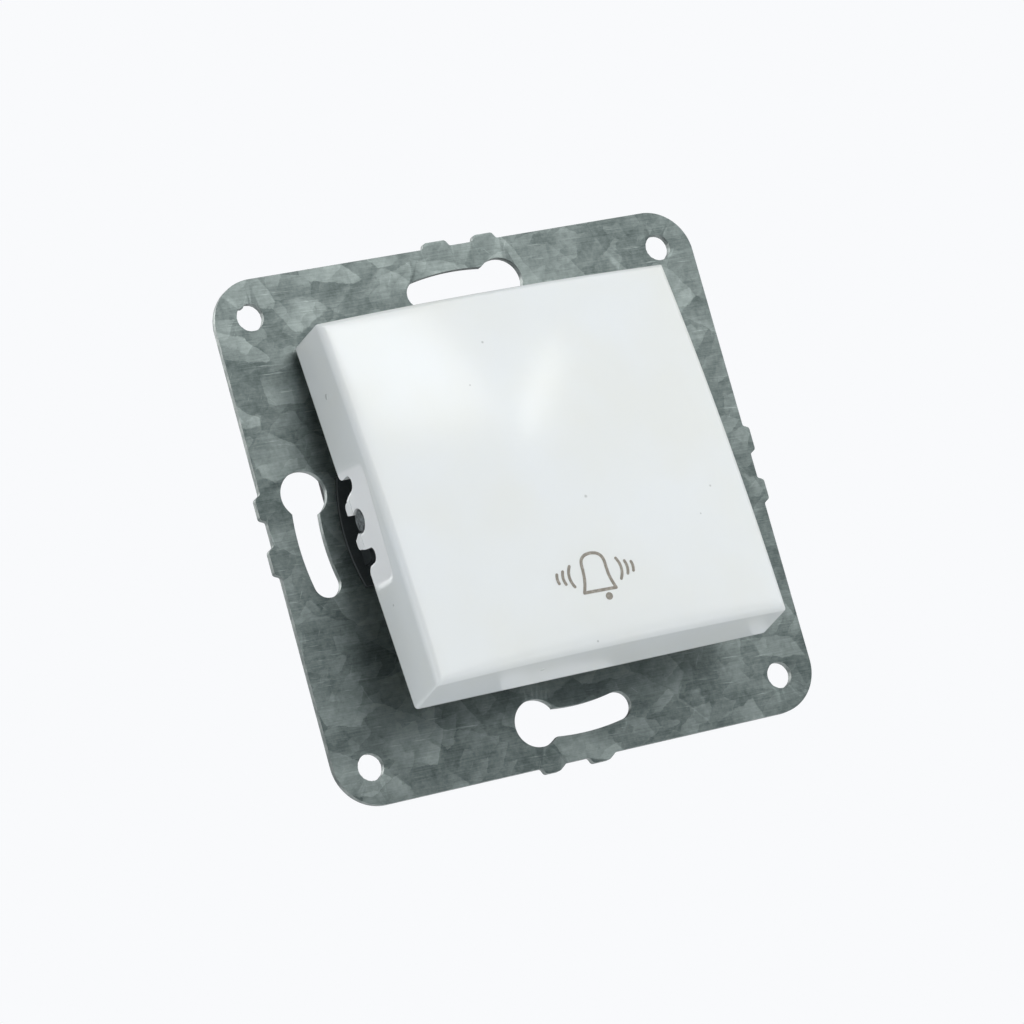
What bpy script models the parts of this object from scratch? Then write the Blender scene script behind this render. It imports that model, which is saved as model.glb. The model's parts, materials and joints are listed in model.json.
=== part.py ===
"""Flush doorbell push button: rocking cover, bearing carrier, contact housing and steel support plate.

Everything is modelled in a face frame (x right, y up the plate, z out of the wall, z = 0 on the wall)
under one empty, which stands that frame up: world Z is up and the cover faces world -Y. Metres.
"""

import math

import bmesh
import bpy
from mathutils import Matrix, Vector

# Gaps between pieces
SEAT_GAP = 0.0003
FINE_GAP = 0.0001
SLIDE_GAP = 0.00015

# Support plate, pressed from galvanised sheet. The screw circle sets its side and its opening.
FIXING_RADIUS = 0.0302
PLATE_THICKNESS = 0.0010
PLATE_CORNER_RADIUS = 0.0062
SLOT_WIDTH = 0.0038
SLOT_END_ANGLE = math.radians(11.4)
KEYHOLE_HEAD_RADIUS = 0.0032
KEYHOLE_HEAD_ANGLE = math.radians(11.6)
KEYHOLE_EDGE_LAND = 0.0021
KEYHOLE_INNER_LAND = 0.0010
BAY_DEPTH = 0.0016
BAY_END_LAND = 0.0026
CORNER_HOLE_INSET = 0.0051
CORNER_HOLE_RADIUS = 0.00175
STOP_TAB_HEIGHT = 0.00085
STOP_TAB_A_START = -0.0039
STOP_TAB_A_WIDTH = 0.0040
STOP_TAB_B_START = 0.0035
STOP_TAB_B_WIDTH = 0.0036
STOP_TAB_STEEP_FLANK = 0.0004
STOP_TAB_EASY_FLANK = 0.0005
STOP_TAB_LOWER_FLANK = 0.0012

# Rivets that hold the housing to the plate
RIVET_CLEARANCE = 0.00045
RIVET_RADIUS = 0.0011
RIVET_HEAD_RADIUS = 0.0018
RIVET_HEAD_HEIGHT = 0.0006

# Housing behind the plate. The plunger, its springs and the latch tongues set its height and depth.
HOUSING_WIDTH = 0.0370
HOUSING_CORNER_RADIUS = 0.0030
HOUSING_WALL = 0.0016
HOUSING_FLOOR_EDGE = 0.0006
FLANGE_THICKNESS = 0.0020
FLANGE_LIP = 0.0005
FLANGE_EAR_RADIUS = 0.0026
TONGUE_CLEARANCE = 0.00275
WINDOW_MARGIN = 0.0005
WIRE_ENTRY_FLARE = 0.0008
WIRE_COLLAR_WALL = 0.0026
WIRE_COLLAR_HEIGHT = 0.0006
WIRE_COLLAR_EDGE = 0.0002
GUSSET_THICKNESS = 0.0012
GUSSET_LENGTH = 0.0060
GUSSET_TOE = 0.0004
GUSSET_EDGE_LAND = 0.0006
GUSSET_SIDE_OFFSET = 0.0120
GUSSET_END_OFFSET = 0.0100

# Carrier that closes the housing and bears the cover
CARRIER_THICKNESS = 0.0012
CARRIER_RIM_GAP = 0.0003
CARRIER_EDGE = 0.00015
BAY_LAND = 0.00215
EAR_FOOT_FLARE = 0.0014
EAR_WIDTH = 0.0076
EAR_TAPER = 0.0010
EAR_THICKNESS = 0.0022
EAR_CLEARANCE = 0.0007
TRUNNION_RADIUS = 0.0015
TRUNNION_RECESS = 0.00025
TRUNNION_EDGE = 0.0002
EAR_RIB_OFFSET = 0.0037
EAR_RIB_WIDTH = 0.0022
EAR_RIB_HEIGHT = 0.00275
REST_STOP_X = 0.0080
REST_STOP_Y = 0.0165
REST_STOP_RADIUS = 0.0015
TONGUE_WIDTH = 0.0080
TONGUE_THICKNESS = 0.0013
TONGUE_LENGTH = 0.0075
HOOK_HEIGHT = 0.0020
GUIDE_WALL = 0.0017
GUIDE_RISE = 0.0028
GUIDE_DROP = 0.0030

# Rocking cover, one moulded shell
COVER_LENGTH = 0.0512
COVER_CORNER_HEIGHT = 0.0082
COVER_CROWN_ACROSS = 0.0012
COVER_CROWN_ALONG = 0.00095
COVER_CROWN_MIDDLE = 0.0006
COVER_DRAFT = 0.00035
COVER_WALL = 0.0016
COVER_TOP = 0.0020
COVER_EDGE_RADIUS = 0.0009
COVER_CORNER_RADIUS = 0.0005
REST_TILT = math.radians(7.9)
PRESS_ANGLE = math.radians(8.0)
PIVOT_RISE = 0.00015
PIVOT_ABOVE_RIM = 0.0015
RIM_CLEARANCE = 0.00105
CLIP_GAP = 0.00015
CLIP_SNAP = 0.0004
CLIP_FLARE = 0.00035
FINGER_LENGTH = 0.00105
FINGER_WIDTH = 0.0015
FINGER_OFFSET = 0.0025
NOTCH_OFFSET = 0.0050
NOTCH_RADIUS = 0.00105
NOTCH_HEIGHT = 0.0030
NOTCH_TAPER = 0.0005
NOTCH_FLARE = 0.0010
POCKET_WIDTH = 0.0166
POCKET_HEIGHT = 0.0065
POCKET_SHIFT = -0.0015
POCKET_SLOPE = math.radians(5.3)
POCKET_LEAN = math.radians(12.0)
POCKET_DEPTH = 0.00005
POCKET_CORNER = 0.0016
RIB_SPACING = 0.0280
RIB_THICKNESS = 0.0010
RIB_DEPTH = 0.0022
RIB_END_LAND = 0.0056

# Plunger and the contact bridge that it carries
PLUNGER_OFFSET = 0.0110
PLUNGER_RADIUS = 0.0025
PLUNGER_HEAD = 0.0065
PLUNGER_EDGE = 0.0005
PLUNGER_BODY_CORNER = 0.0006
PUSH_POST_RADIUS = 0.0015
COLLAR_THICKNESS = 0.0015
PLUNGER_BODY_WIDTH = 0.0060
PLUNGER_BODY_HEIGHT = 0.0084
PLUNGER_FOOT = 0.0020
BRIDGE_END_LAND = 0.0016
BRIDGE_WIDTH = 0.0050
BRIDGE_THICKNESS = 0.0005
BRIDGE_CORNER = 0.0012
BRIDGE_SPRING_SPACE = 0.0044
BRIDGE_SPRING_RADIUS = 0.0015
BRIDGE_SPRING_WIRE = 0.0004
RETURN_SPRING_LENGTH = 0.0063
RETURN_SPRING_RADIUS = 0.0022
RETURN_SPRING_WIRE = 0.0005
SPRING_PIN_RADIUS = 0.0014
SPRING_PIN_LENGTH = 0.0016
SPRING_BOSS_HEIGHT = 0.0010
SPRING_END_TURNS = 0.75
SPRING_END_PITCH = 1.1

# Fixed contacts, contact tips and terminals
TIP_SPACING = 0.0130
TIP_RADIUS = 0.0012
TIP_HEIGHT = 0.0006
TIP_SHANK_RADIUS = 0.0005
CONTACT_CLOSED_GAP = 0.00015
STRIP_WIDTH = 0.0040
STRIP_THICKNESS = 0.0006
STRIP_TONGUE_HEIGHT = 0.0050
STRIP_END_LAND = 0.0005
BLOCK_WIDTH = 0.0058
BLOCK_LENGTH = 0.0070
BLOCK_HEIGHT = 0.0075
BLOCK_EDGE = 0.0004
BLOCK_SIDE_GAP = 0.0005
BLOCK_FLOOR_SEAT = 0.0021
TERMINAL_Y = 0.0012
WIRE_HOLE_RADIUS = 0.0014
WIRE_ENTRY_RADIUS = 0.0019
SCREW_RADIUS = 0.0013
SCREW_HEAD_RADIUS = 0.0020
SCREW_HEAD_HEIGHT = 0.0016
SCREW_EDGE = 0.0003
SCREW_SLOT_WIDTH = 0.0006
SCREW_SLOT_DEPTH = 0.0007
SCREW_DROP = 0.0030
SCREW_ACCESS_GAP = 0.0004
PARTITION_THICKNESS = 0.0012
SHELF_WIDTH = 0.0024
SHELF_LEDGE = 0.0010
PARTITION_LEDGE = 0.0006

# Sizes that follow
PLATE_FRONT = PLATE_THICKNESS
PLATE_SIDE = 2 * (FIXING_RADIUS + KEYHOLE_HEAD_RADIUS + KEYHOLE_EDGE_LAND)
BAY_RADIUS = FIXING_RADIUS - KEYHOLE_HEAD_RADIUS - KEYHOLE_INNER_LAND
OPENING_RADIUS = BAY_RADIUS - BAY_DEPTH
BAY_HALF_WIDTH = EAR_WIDTH / 2 + EAR_FOOT_FLARE + BAY_END_LAND
EAR_OUTER_X = BAY_RADIUS - CARRIER_RIM_GAP - BAY_LAND
COVER_WIDTH = 2 * (EAR_OUTER_X + EAR_CLEARANCE + COVER_WALL)
PIVOT_HEIGHT = (
    COVER_LENGTH / 2 * math.sin(REST_TILT) + RIM_CLEARANCE + PIVOT_ABOVE_RIM * math.cos(REST_TILT)
)
PIVOT = Vector((0.0, PIVOT_RISE, PLATE_FRONT + PIVOT_HEIGHT))
FLANGE_RADIUS = BAY_RADIUS + FLANGE_LIP
FLANGE_FRONT = -SEAT_GAP
FLANGE_BACK = FLANGE_FRONT - FLANGE_THICKNESS
CARRIER_FRONT = CARRIER_THICKNESS
PLUNGER_Y = PIVOT_RISE - PLUNGER_OFFSET
TRAVEL = PLUNGER_OFFSET * PRESS_ANGLE
GUIDE_RADIUS = PLUNGER_RADIUS + SLIDE_GAP + GUIDE_WALL
COLLAR_FRONT = -GUIDE_DROP - SEAT_GAP
WINDOW_FRONT = COLLAR_FRONT - COLLAR_THICKNESS - FINE_GAP
WINDOW_BACK = WINDOW_FRONT - BRIDGE_SPRING_SPACE - BRIDGE_THICKNESS - SEAT_GAP
BRIDGE_LENGTH = TIP_SPACING + 2 * BRIDGE_END_LAND
BRIDGE_BACK = WINDOW_BACK + SEAT_GAP
BRIDGE_FRONT = BRIDGE_BACK + BRIDGE_THICKNESS
FOOT_BACK = WINDOW_BACK - PLUNGER_FOOT
MOVING_TIP_FACE = BRIDGE_BACK - FINE_GAP - TIP_HEIGHT
FIXED_TIP_FACE = MOVING_TIP_FACE - TRAVEL - CONTACT_CLOSED_GAP
STRIP_FRONT = FIXED_TIP_FACE - TIP_HEIGHT - FINE_GAP
STRIP_BACK = STRIP_FRONT - STRIP_THICKNESS
FLOOR = FOOT_BACK - RETURN_SPRING_LENGTH
HOUSING_BACK = FLOOR - HOUSING_WALL
CAVITY_X = HOUSING_WIDTH / 2 - HOUSING_WALL
CAVITY_Y = PLUNGER_BODY_HEIGHT / 2 - PLUNGER_Y + TONGUE_CLEARANCE + TONGUE_THICKNESS + SEAT_GAP
HOUSING_HEIGHT = 2 * (CAVITY_Y + HOUSING_WALL)
HOUSING_REACH = HOUSING_CORNER_RADIUS + math.hypot(
    HOUSING_WIDTH / 2 - HOUSING_CORNER_RADIUS, HOUSING_HEIGHT / 2 - HOUSING_CORNER_RADIUS
)
RIVET_CIRCLE_RADIUS = max(HOUSING_REACH, FLANGE_RADIUS) + RIVET_HEAD_RADIUS + RIVET_CLEARANCE
BLOCK_X = CAVITY_X - BLOCK_SIDE_GAP - BLOCK_WIDTH / 2
BLOCK_BACK = FLOOR + BLOCK_FLOOR_SEAT + SEAT_GAP
BLOCK_FRONT = BLOCK_BACK + BLOCK_HEIGHT
SCREW_Z = BLOCK_FRONT - SCREW_DROP

# How far a helper that joins a body reaches into it, and how far a cutter reaches past it
SINK = 0.0004
OVERRUN = 0.0010

ROUND_STEPS = 24
FINE_STEPS = 64


def clear_scene():
    """Removes every object that the file starts with."""
    for item in list(bpy.data.objects):
        bpy.data.objects.remove(item, do_unlink=True)


def make_material(name, colour, roughness, metallic):
    """A plain Principled BSDF material with a linear colour."""
    finish = bpy.data.materials.new(name)
    finish.use_nodes = True
    shader = finish.node_tree.nodes["Principled BSDF"]
    shader.inputs["Base Color"].default_value = (*colour, 1.0)
    shader.inputs["Roughness"].default_value = roughness
    shader.inputs["Metallic"].default_value = metallic
    return finish


def arc(centre, radius, start, end, steps):
    """Points on an arc, both ends included, angles in degrees."""
    angles = [math.radians(start + (end - start) * i / steps) for i in range(steps + 1)]
    return [(centre[0] + radius * math.cos(a), centre[1] + radius * math.sin(a)) for a in angles]


def circle(radius, steps=ROUND_STEPS, centre=(0.0, 0.0)):
    """A closed ring of points, without the repeated last one."""
    return arc(centre, radius, 0.0, 360.0, steps)[:-1]


def turned(points, angle):
    """The points turned about the frame's origin, angle in degrees."""
    cosine = math.cos(math.radians(angle))
    sine = math.sin(math.radians(angle))
    return [(x * cosine - y * sine, x * sine + y * cosine) for x, y in points]


def rounded_rectangle(width, height, radius, side_steps=1, corner_steps=4, centre=(0.0, 0.0)):
    """A closed outline with arc corners and each side cut into side_steps parts."""
    half_x = width / 2 - radius
    half_y = height / 2 - radius
    corners = ((half_x, half_y, 0), (-half_x, half_y, 90), (-half_x, -half_y, 180), (half_x, -half_y, 270))
    points = []
    for index, (x, y, start) in enumerate(corners):
        points += arc((x, y), radius, start, start + 90, corner_steps)
        here = Vector(points[-1])
        next_x, next_y, next_start = corners[(index + 1) % 4]
        there = Vector(arc((next_x, next_y), radius, next_start, next_start, 1)[0])
        points += [tuple(here.lerp(there, i / side_steps)) for i in range(1, side_steps)]
    return [(x + centre[0], y + centre[1]) for x, y in points]


def level(outline, z):
    """An outline lifted to one height."""
    return [(x, y, z) for x, y in outline]


def finish_mesh(name, mesh_data, sharp_angle=40.0):
    """Turns an open bmesh into an object with outward faces, shaded smooth up to sharp_angle."""
    bmesh.ops.recalc_face_normals(mesh_data, faces=mesh_data.faces)
    mesh = bpy.data.meshes.new(name)
    mesh_data.to_mesh(mesh)
    mesh_data.free()
    mesh.shade_smooth()
    mesh.set_sharp_from_angle(angle=math.radians(sharp_angle))
    item = bpy.data.objects.new(name, mesh)
    bpy.context.scene.collection.objects.link(item)
    return item


def loft(name, rings):
    """One closed body through rings of equal count, capped at both ends."""
    data = bmesh.new()
    rows = [[data.verts.new(point) for point in ring] for ring in rings]
    count = len(rows[0])
    for low, high in zip(rows, rows[1:]):
        for i in range(count):
            j = (i + 1) % count
            data.faces.new((low[i], low[j], high[j], high[i]))
    data.faces.new(list(reversed(rows[0])))
    data.faces.new(rows[-1])
    return finish_mesh(name, data)


def prism(name, outline, back, front):
    """An outline drawn out between two heights."""
    return loft(name, [level(outline, back), level(outline, front)])


def turned_body(name, profile, steps=ROUND_STEPS, centre=(0.0, 0.0)):
    """A round body from (radius, height) points, listed from one end to the other."""
    return loft(name, [level(circle(radius, steps, centre), z) for radius, z in profile])


def drill(name, radius, back, front, steps=ROUND_STEPS, centre=(0.0, 0.0)):
    """A round cutter that runs out past both ends of its hole."""
    return turned_body(name, [(radius, back - OVERRUN), (radius, front + OVERRUN)], steps, centre)


def pierced_sheet(name, outline, holes, back, front):
    """A flat sheet with any number of holes through it."""
    data = bmesh.new()
    edges = []
    for ring in [outline, *holes]:
        corners = [data.verts.new((x, y, back)) for x, y in ring]
        edges += [data.edges.new(pair) for pair in zip(corners, corners[1:] + corners[:1])]
    filled = bmesh.ops.triangle_fill(data, use_beauty=True, use_dissolve=False, edges=edges)
    faces = [item for item in filled["geom"] if isinstance(item, bmesh.types.BMFace)]
    drawn = bmesh.ops.extrude_face_region(data, geom=faces)
    lifted = [item for item in drawn["geom"] if isinstance(item, bmesh.types.BMVert)]
    bmesh.ops.translate(data, verts=lifted, vec=(0.0, 0.0, front - back))
    return finish_mesh(name, data)


def box(name, low, high):
    """A plain block between two corners."""
    outline = [(low[0], low[1]), (high[0], low[1]), (high[0], high[1]), (low[0], high[1])]
    return prism(name, outline, low[2], high[2])


def along_x(item, x=0.0):
    """Lays a body that was drawn along z over, so that it runs along +x from x."""
    item.data.transform(Matrix.Translation((x, 0, 0)) @ Matrix.Rotation(math.pi / 2, 4, "Y"))
    return item


def moved(item, x, y, z):
    """Shifts the mesh itself, so the object keeps its origin."""
    item.data.transform(Matrix.Translation((x, y, z)))
    return item


def boolean(item, operation, others):
    """Adds one Boolean for each helper, and hides the helpers."""
    for other in others:
        step = item.modifiers.new(f"{operation.lower()} {other.name}", "BOOLEAN")
        step.operation = operation
        step.solver = "EXACT"
        step.object = other
        other.hide_render = True
        other.display_type = "WIRE"
        other.parent = item.parent
        other["helper"] = True
    return item


def add(item, *others):
    """Joins helpers to a body."""
    return boolean(item, "UNION", others)


def cut(item, *others):
    """Cuts helpers out of a body."""
    return boolean(item, "DIFFERENCE", others)


def on_both_sides(build):
    """Builds a helper for the right (+1) and the left (-1) side."""
    return [build(side, label) for side, label in ((1, "right"), (-1, "left"))]


def plate_outline():
    """The square with arc corners and two stop tabs on each edge; the lower tabs slope the other way."""
    half = PLATE_SIDE / 2
    corner = half - PLATE_CORNER_RADIUS
    points = []
    for quarter in range(4):
        side = arc((corner, corner), PLATE_CORNER_RADIUS, 0, 90, 8)
        first, last = STOP_TAB_STEEP_FLANK, STOP_TAB_EASY_FLANK
        if quarter == 2:
            first, last = STOP_TAB_LOWER_FLANK, STOP_TAB_STEEP_FLANK
        for start, width in ((STOP_TAB_B_START, STOP_TAB_B_WIDTH), (STOP_TAB_A_START, STOP_TAB_A_WIDTH)):
            side += [
                (start + width, half),
                (start + width - last, half + STOP_TAB_HEIGHT),
                (start + first, half + STOP_TAB_HEIGHT),
                (start, half),
            ]
        points += turned(side, 90 * quarter)
    return points


def keyhole_outline():
    """The top keyhole: a round head at one end of an arc slot about the plate's centre."""
    half = SLOT_WIDTH / 2
    head = 90 - math.degrees(KEYHOLE_HEAD_ANGLE)
    end = 90 + math.degrees(SLOT_END_ANGLE)
    head_centre = (FIXING_RADIUS * math.cos(math.radians(head)), FIXING_RADIUS * math.sin(math.radians(head)))
    end_centre = (FIXING_RADIUS * math.cos(math.radians(end)), FIXING_RADIUS * math.sin(math.radians(end)))
    meet = math.degrees(math.asin(half / KEYHOLE_HEAD_RADIUS))
    towards_slot = head + 90
    reach = KEYHOLE_HEAD_RADIUS * math.cos(math.radians(meet))
    first = head + math.degrees(reach / FIXING_RADIUS)
    outer = arc((0, 0), FIXING_RADIUS + half, first, end, 6)
    cap = arc(end_centre, half, end, end + 180, 6)[1:-1]
    inner = arc((0, 0), FIXING_RADIUS - half, end, first, 6)
    bulb = arc(head_centre, KEYHOLE_HEAD_RADIUS, towards_slot + meet, towards_slot + 360 - meet, 16)[1:-1]
    return outer + cap + inner + bulb


def opening_outline(gap):
    """The round opening with a bay at each side for the bearing ears, drawn in by a gap all round."""
    bay_edge = math.degrees(math.asin((BAY_HALF_WIDTH - gap) / (BAY_RADIUS - gap)))
    round_edge = math.degrees(math.asin((BAY_HALF_WIDTH - gap) / (OPENING_RADIUS - gap)))
    points = []
    for start in (0, 180):
        points += arc((0, 0), BAY_RADIUS - gap, start - bay_edge, start + bay_edge, 8)
        points += arc((0, 0), OPENING_RADIUS - gap, start + round_edge, start + 180 - round_edge, 24)
    return points


def rivet_places():
    """The four rivet centres, on the diagonals."""
    reach = RIVET_CIRCLE_RADIUS / math.sqrt(2)
    return [(reach, reach), (-reach, reach), (-reach, -reach), (reach, -reach)]


def build_support_plate():
    """Pressed plate with the round opening, keyholes, corner holes and rivet holes."""
    place = PLATE_SIDE / 2 - CORNER_HOLE_INSET
    corner = circle(CORNER_HOLE_RADIUS, 16, (place, place))
    holes = [opening_outline(0.0)]
    holes += [turned(keyhole_outline(), 90 * quarter) for quarter in range(4)]
    holes += [turned(corner, 90 * quarter) for quarter in range(4)]
    holes += [circle(RIVET_RADIUS + FINE_GAP, 12, place) for place in rivet_places()]
    return pierced_sheet("support_plate", plate_outline(), holes, 0.0, PLATE_FRONT)


def build_rivet(index, place):
    """A rivet through the plate and the housing's ear, with its shank seated in both."""
    back = FLANGE_BACK - FINE_GAP
    front = PLATE_FRONT + FINE_GAP
    crown = RIVET_HEAD_RADIUS * 0.6
    profile = [
        (crown, back - RIVET_HEAD_HEIGHT),
        (RIVET_HEAD_RADIUS, back - RIVET_HEAD_HEIGHT / 3),
        (RIVET_HEAD_RADIUS, back),
        (RIVET_RADIUS, back),
        (RIVET_RADIUS, front),
        (RIVET_HEAD_RADIUS, front),
        (RIVET_HEAD_RADIUS, front + RIVET_HEAD_HEIGHT / 3),
        (crown, front + RIVET_HEAD_HEIGHT),
    ]
    return turned_body(f"rivet_{index}", profile, 12, place)


def build_housing():
    """Deep box with a flange behind the plate, partitions, contact shelves and wire entries."""
    outline = rounded_rectangle(HOUSING_WIDTH, HOUSING_HEIGHT, HOUSING_CORNER_RADIUS)
    eased = rounded_rectangle(
        HOUSING_WIDTH - 2 * HOUSING_FLOOR_EDGE,
        HOUSING_HEIGHT - 2 * HOUSING_FLOOR_EDGE,
        HOUSING_CORNER_RADIUS - HOUSING_FLOOR_EDGE,
    )
    rings = [level(eased, HOUSING_BACK), level(outline, HOUSING_BACK + HOUSING_FLOOR_EDGE)]
    rings += [level(outline, FLANGE_BACK + SINK)]
    item = loft("housing", rings)
    flange = prism("flange", circle(FLANGE_RADIUS, FINE_STEPS), FLANGE_BACK, FLANGE_FRONT)
    ears = []
    for index, (x, y) in enumerate(rivet_places()):
        angle = math.degrees(math.atan2(y, x))
        root = (x * 0.7, y * 0.7)
        ear = arc((x, y), FLANGE_EAR_RADIUS, angle - 90, angle + 90, 8)
        ear += arc(root, FLANGE_EAR_RADIUS * 1.5, angle + 90, angle + 270, 8)
        ears.append(prism(f"flange ear {index}", ear, FLANGE_BACK, FLANGE_FRONT))
    cavity = prism(
        "cavity",
        rounded_rectangle(2 * CAVITY_X, 2 * CAVITY_Y, HOUSING_CORNER_RADIUS - HOUSING_WALL),
        FLOOR,
        FLANGE_FRONT + OVERRUN,
    )
    add(item, flange, *ears, *housing_gussets(), *on_both_sides(wire_collar))
    cut(item, cavity)
    add(item, *housing_inside())
    holes = [
        drill(f"rivet hole {index}", RIVET_RADIUS + FINE_GAP, FLANGE_BACK, FLANGE_FRONT, 12, place)
        for index, place in enumerate(rivet_places())
    ]
    cut(item, *holes, *housing_openings())
    return item


def housing_gussets():
    """Ribs that brace the flange against each wall of the box, two to a wall."""
    ribs = []
    half = GUSSET_THICKNESS / 2
    walls = (("side", HOUSING_WIDTH / 2, GUSSET_SIDE_OFFSET), ("end", HOUSING_HEIGHT / 2, GUSSET_END_OFFSET))
    for kind, wall, offset in walls:
        edge = math.sqrt(FLANGE_RADIUS**2 - (offset + half) ** 2) - GUSSET_EDGE_LAND
        profile = [
            (wall - SINK, FLANGE_BACK + SINK),
            (edge, FLANGE_BACK + SINK),
            (edge, FLANGE_BACK - GUSSET_TOE),
            (wall + GUSSET_TOE, FLANGE_BACK - GUSSET_LENGTH),
            (wall - SINK, FLANGE_BACK - GUSSET_LENGTH),
        ]
        for side, place in ((1, offset), (1, -offset), (-1, offset), (-1, -offset)):
            faces = (place - half, place + half)
            rings = [[(side * reach, shift, z) for reach, z in profile] for shift in faces]
            if kind == "end":
                rings = [[(y, x, z) for x, y, z in ring] for ring in rings]
            ribs.append(loft(f"gusset {kind} {len(ribs)}", rings))
    return ribs


def wire_collar(side, label):
    """Low ring round a wire entry on the back of the box."""
    radius = WIRE_ENTRY_RADIUS + WIRE_COLLAR_WALL
    end = HOUSING_BACK - WIRE_COLLAR_HEIGHT
    profile = [
        (radius - WIRE_COLLAR_EDGE, end),
        (radius, end + WIRE_COLLAR_EDGE),
        (radius, HOUSING_BACK + SINK),
    ]
    return turned_body(f"wire collar {label}", profile, ROUND_STEPS, (side * BLOCK_X, TERMINAL_Y))


def housing_inside():
    """Shelves under the contact strips, seats and partitions at the terminals, and the spring boss."""
    shelf_x = (TIP_SPACING / 2 + BLOCK_X) / 2
    inner_x = BLOCK_X - BLOCK_WIDTH / 2 - FINE_GAP
    seat_half = BLOCK_LENGTH / 2

    def shelf(side, label):
        return box(
            f"contact shelf {label}",
            (side * shelf_x - SHELF_WIDTH, PLUNGER_Y - STRIP_WIDTH / 2 - SHELF_LEDGE, FLOOR - SINK),
            (side * shelf_x + SHELF_WIDTH, PLUNGER_Y + STRIP_WIDTH / 2 + SHELF_LEDGE, STRIP_BACK - SEAT_GAP),
        )

    def seat(side, label):
        outer = side * (CAVITY_X + SINK)
        inner = side * (inner_x - PARTITION_THICKNESS / 2)
        return box(
            f"terminal seat {label}",
            (min(outer, inner), TERMINAL_Y - seat_half, FLOOR - SINK),
            (max(outer, inner), TERMINAL_Y + seat_half, FLOOR + BLOCK_FLOOR_SEAT),
        )

    def partition(side, label):
        outer = side * inner_x
        inner = side * (inner_x - PARTITION_THICKNESS)
        return box(
            f"partition {label}",
            (min(outer, inner), TERMINAL_Y - seat_half, FLOOR - SINK),
            (max(outer, inner), TERMINAL_Y + seat_half + PARTITION_LEDGE, BLOCK_FRONT),
        )

    boss_profile = [
        (SPRING_PIN_RADIUS, FLOOR - SINK),
        (SPRING_PIN_RADIUS, FLOOR + SPRING_BOSS_HEIGHT * 0.6),
        (SPRING_PIN_RADIUS * 0.7, FLOOR + SPRING_BOSS_HEIGHT),
    ]
    boss = turned_body("spring boss", boss_profile, 16, (0.0, PLUNGER_Y))
    return [*on_both_sides(shelf), *on_both_sides(seat), *on_both_sides(partition), boss]


def housing_openings():
    """Wire entries from the rear, screwdriver holes at the sides and windows for the latch tongues."""

    def wire_entry(side, label):
        profile = [
            (WIRE_ENTRY_RADIUS + 2 * WIRE_ENTRY_FLARE, HOUSING_BACK - WIRE_ENTRY_FLARE),
            (WIRE_ENTRY_RADIUS, HOUSING_BACK + WIRE_ENTRY_FLARE),
            (WIRE_ENTRY_RADIUS, BLOCK_BACK),
        ]
        return turned_body(f"wire entry {label}", profile, 16, (side * BLOCK_X, TERMINAL_Y))

    def screw_access(side, label):
        half = HOUSING_WALL / 2
        hole = drill(f"screw access {label}", SCREW_HEAD_RADIUS + SCREW_ACCESS_GAP, -half, half, 16)
        along_x(hole, side * (HOUSING_WIDTH / 2 - half))
        return moved(hole, 0.0, TERMINAL_Y, SCREW_Z)

    def window(side, label):
        near = side * (CAVITY_Y - OVERRUN / 2)
        far = side * (CAVITY_Y + HOUSING_WALL + OVERRUN)
        half = TONGUE_WIDTH / 2 + WINDOW_MARGIN
        return box(
            f"latch window {'top' if side > 0 else 'bottom'}",
            (-half, min(near, far), -TONGUE_LENGTH - SEAT_GAP),
            (half, max(near, far), -TONGUE_LENGTH + HOOK_HEIGHT + SEAT_GAP),
        )

    return [*on_both_sides(wire_entry), *on_both_sides(screw_access), *on_both_sides(window)]


def build_carrier():
    """Round carrier in the plate's opening: bearing ears, plunger guide, rest stops and latch tongues."""
    outline = opening_outline(CARRIER_RIM_GAP)
    rings = [
        level(outline, 0.0),
        level(outline, CARRIER_FRONT - CARRIER_EDGE),
        level(opening_outline(CARRIER_RIM_GAP + CARRIER_EDGE), CARRIER_FRONT),
    ]
    item = loft("bearing_carrier", rings)
    centre = (0.0, PLUNGER_Y)
    guide_top = CARRIER_FRONT + GUIDE_RISE
    guide_profile = [(GUIDE_RADIUS, -GUIDE_DROP), (GUIDE_RADIUS, guide_top)]
    guide = turned_body("guide", guide_profile, ROUND_STEPS, centre)
    bore = drill("guide bore", PLUNGER_RADIUS + SLIDE_GAP, -GUIDE_DROP, guide_top, ROUND_STEPS, centre)
    ears = on_both_sides(bearing_ear)
    trunnions = on_both_sides(trunnion)
    ribs = on_both_sides(ear_rib)
    stops = on_both_sides(rest_stop)
    tongues = [latch_tongue(side) for side in (1, -1)]
    add(item, guide, *ears, *trunnions, *ribs, *stops, *tongues)
    cut(item, bore)
    return item


def bearing_ear(side, label):
    """Upright plate with a round head about the pivot, wider and sloped at its foot."""
    foot = CARRIER_FRONT - FINE_GAP
    half = EAR_WIDTH / 2
    head = half - EAR_TAPER
    shoulder = (foot + PIVOT.z) / 2
    outline = [(PIVOT.y - half - EAR_FOOT_FLARE, foot), (PIVOT.y + half, foot), (PIVOT.y + half, shoulder)]
    outline += arc((PIVOT.y, PIVOT.z), head, 0, 180, 8)
    outline += [(PIVOT.y - half, shoulder)]
    thick = [side * (EAR_OUTER_X - EAR_THICKNESS), side * EAR_OUTER_X]
    rings = [[(x, y, z) for y, z in outline] for x in thick]
    return loft(f"bearing ear {label}", rings)


def trunnion(side, label):
    """Short round pin that the cover's clip snaps over."""
    length = COVER_WIDTH / 2 - TRUNNION_RECESS - EAR_OUTER_X + SINK
    edge = TRUNNION_EDGE
    profile = [(TRUNNION_RADIUS, 0.0), (TRUNNION_RADIUS, length - edge), (TRUNNION_RADIUS - edge, length)]
    pin = along_x(turned_body(f"trunnion {label}", profile, 20), EAR_OUTER_X - SINK)
    if side < 0:
        pin.data.transform(Matrix.Rotation(math.pi, 4, "Z"))
    return moved(pin, 0.0, PIVOT.y, PIVOT.z)


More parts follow.
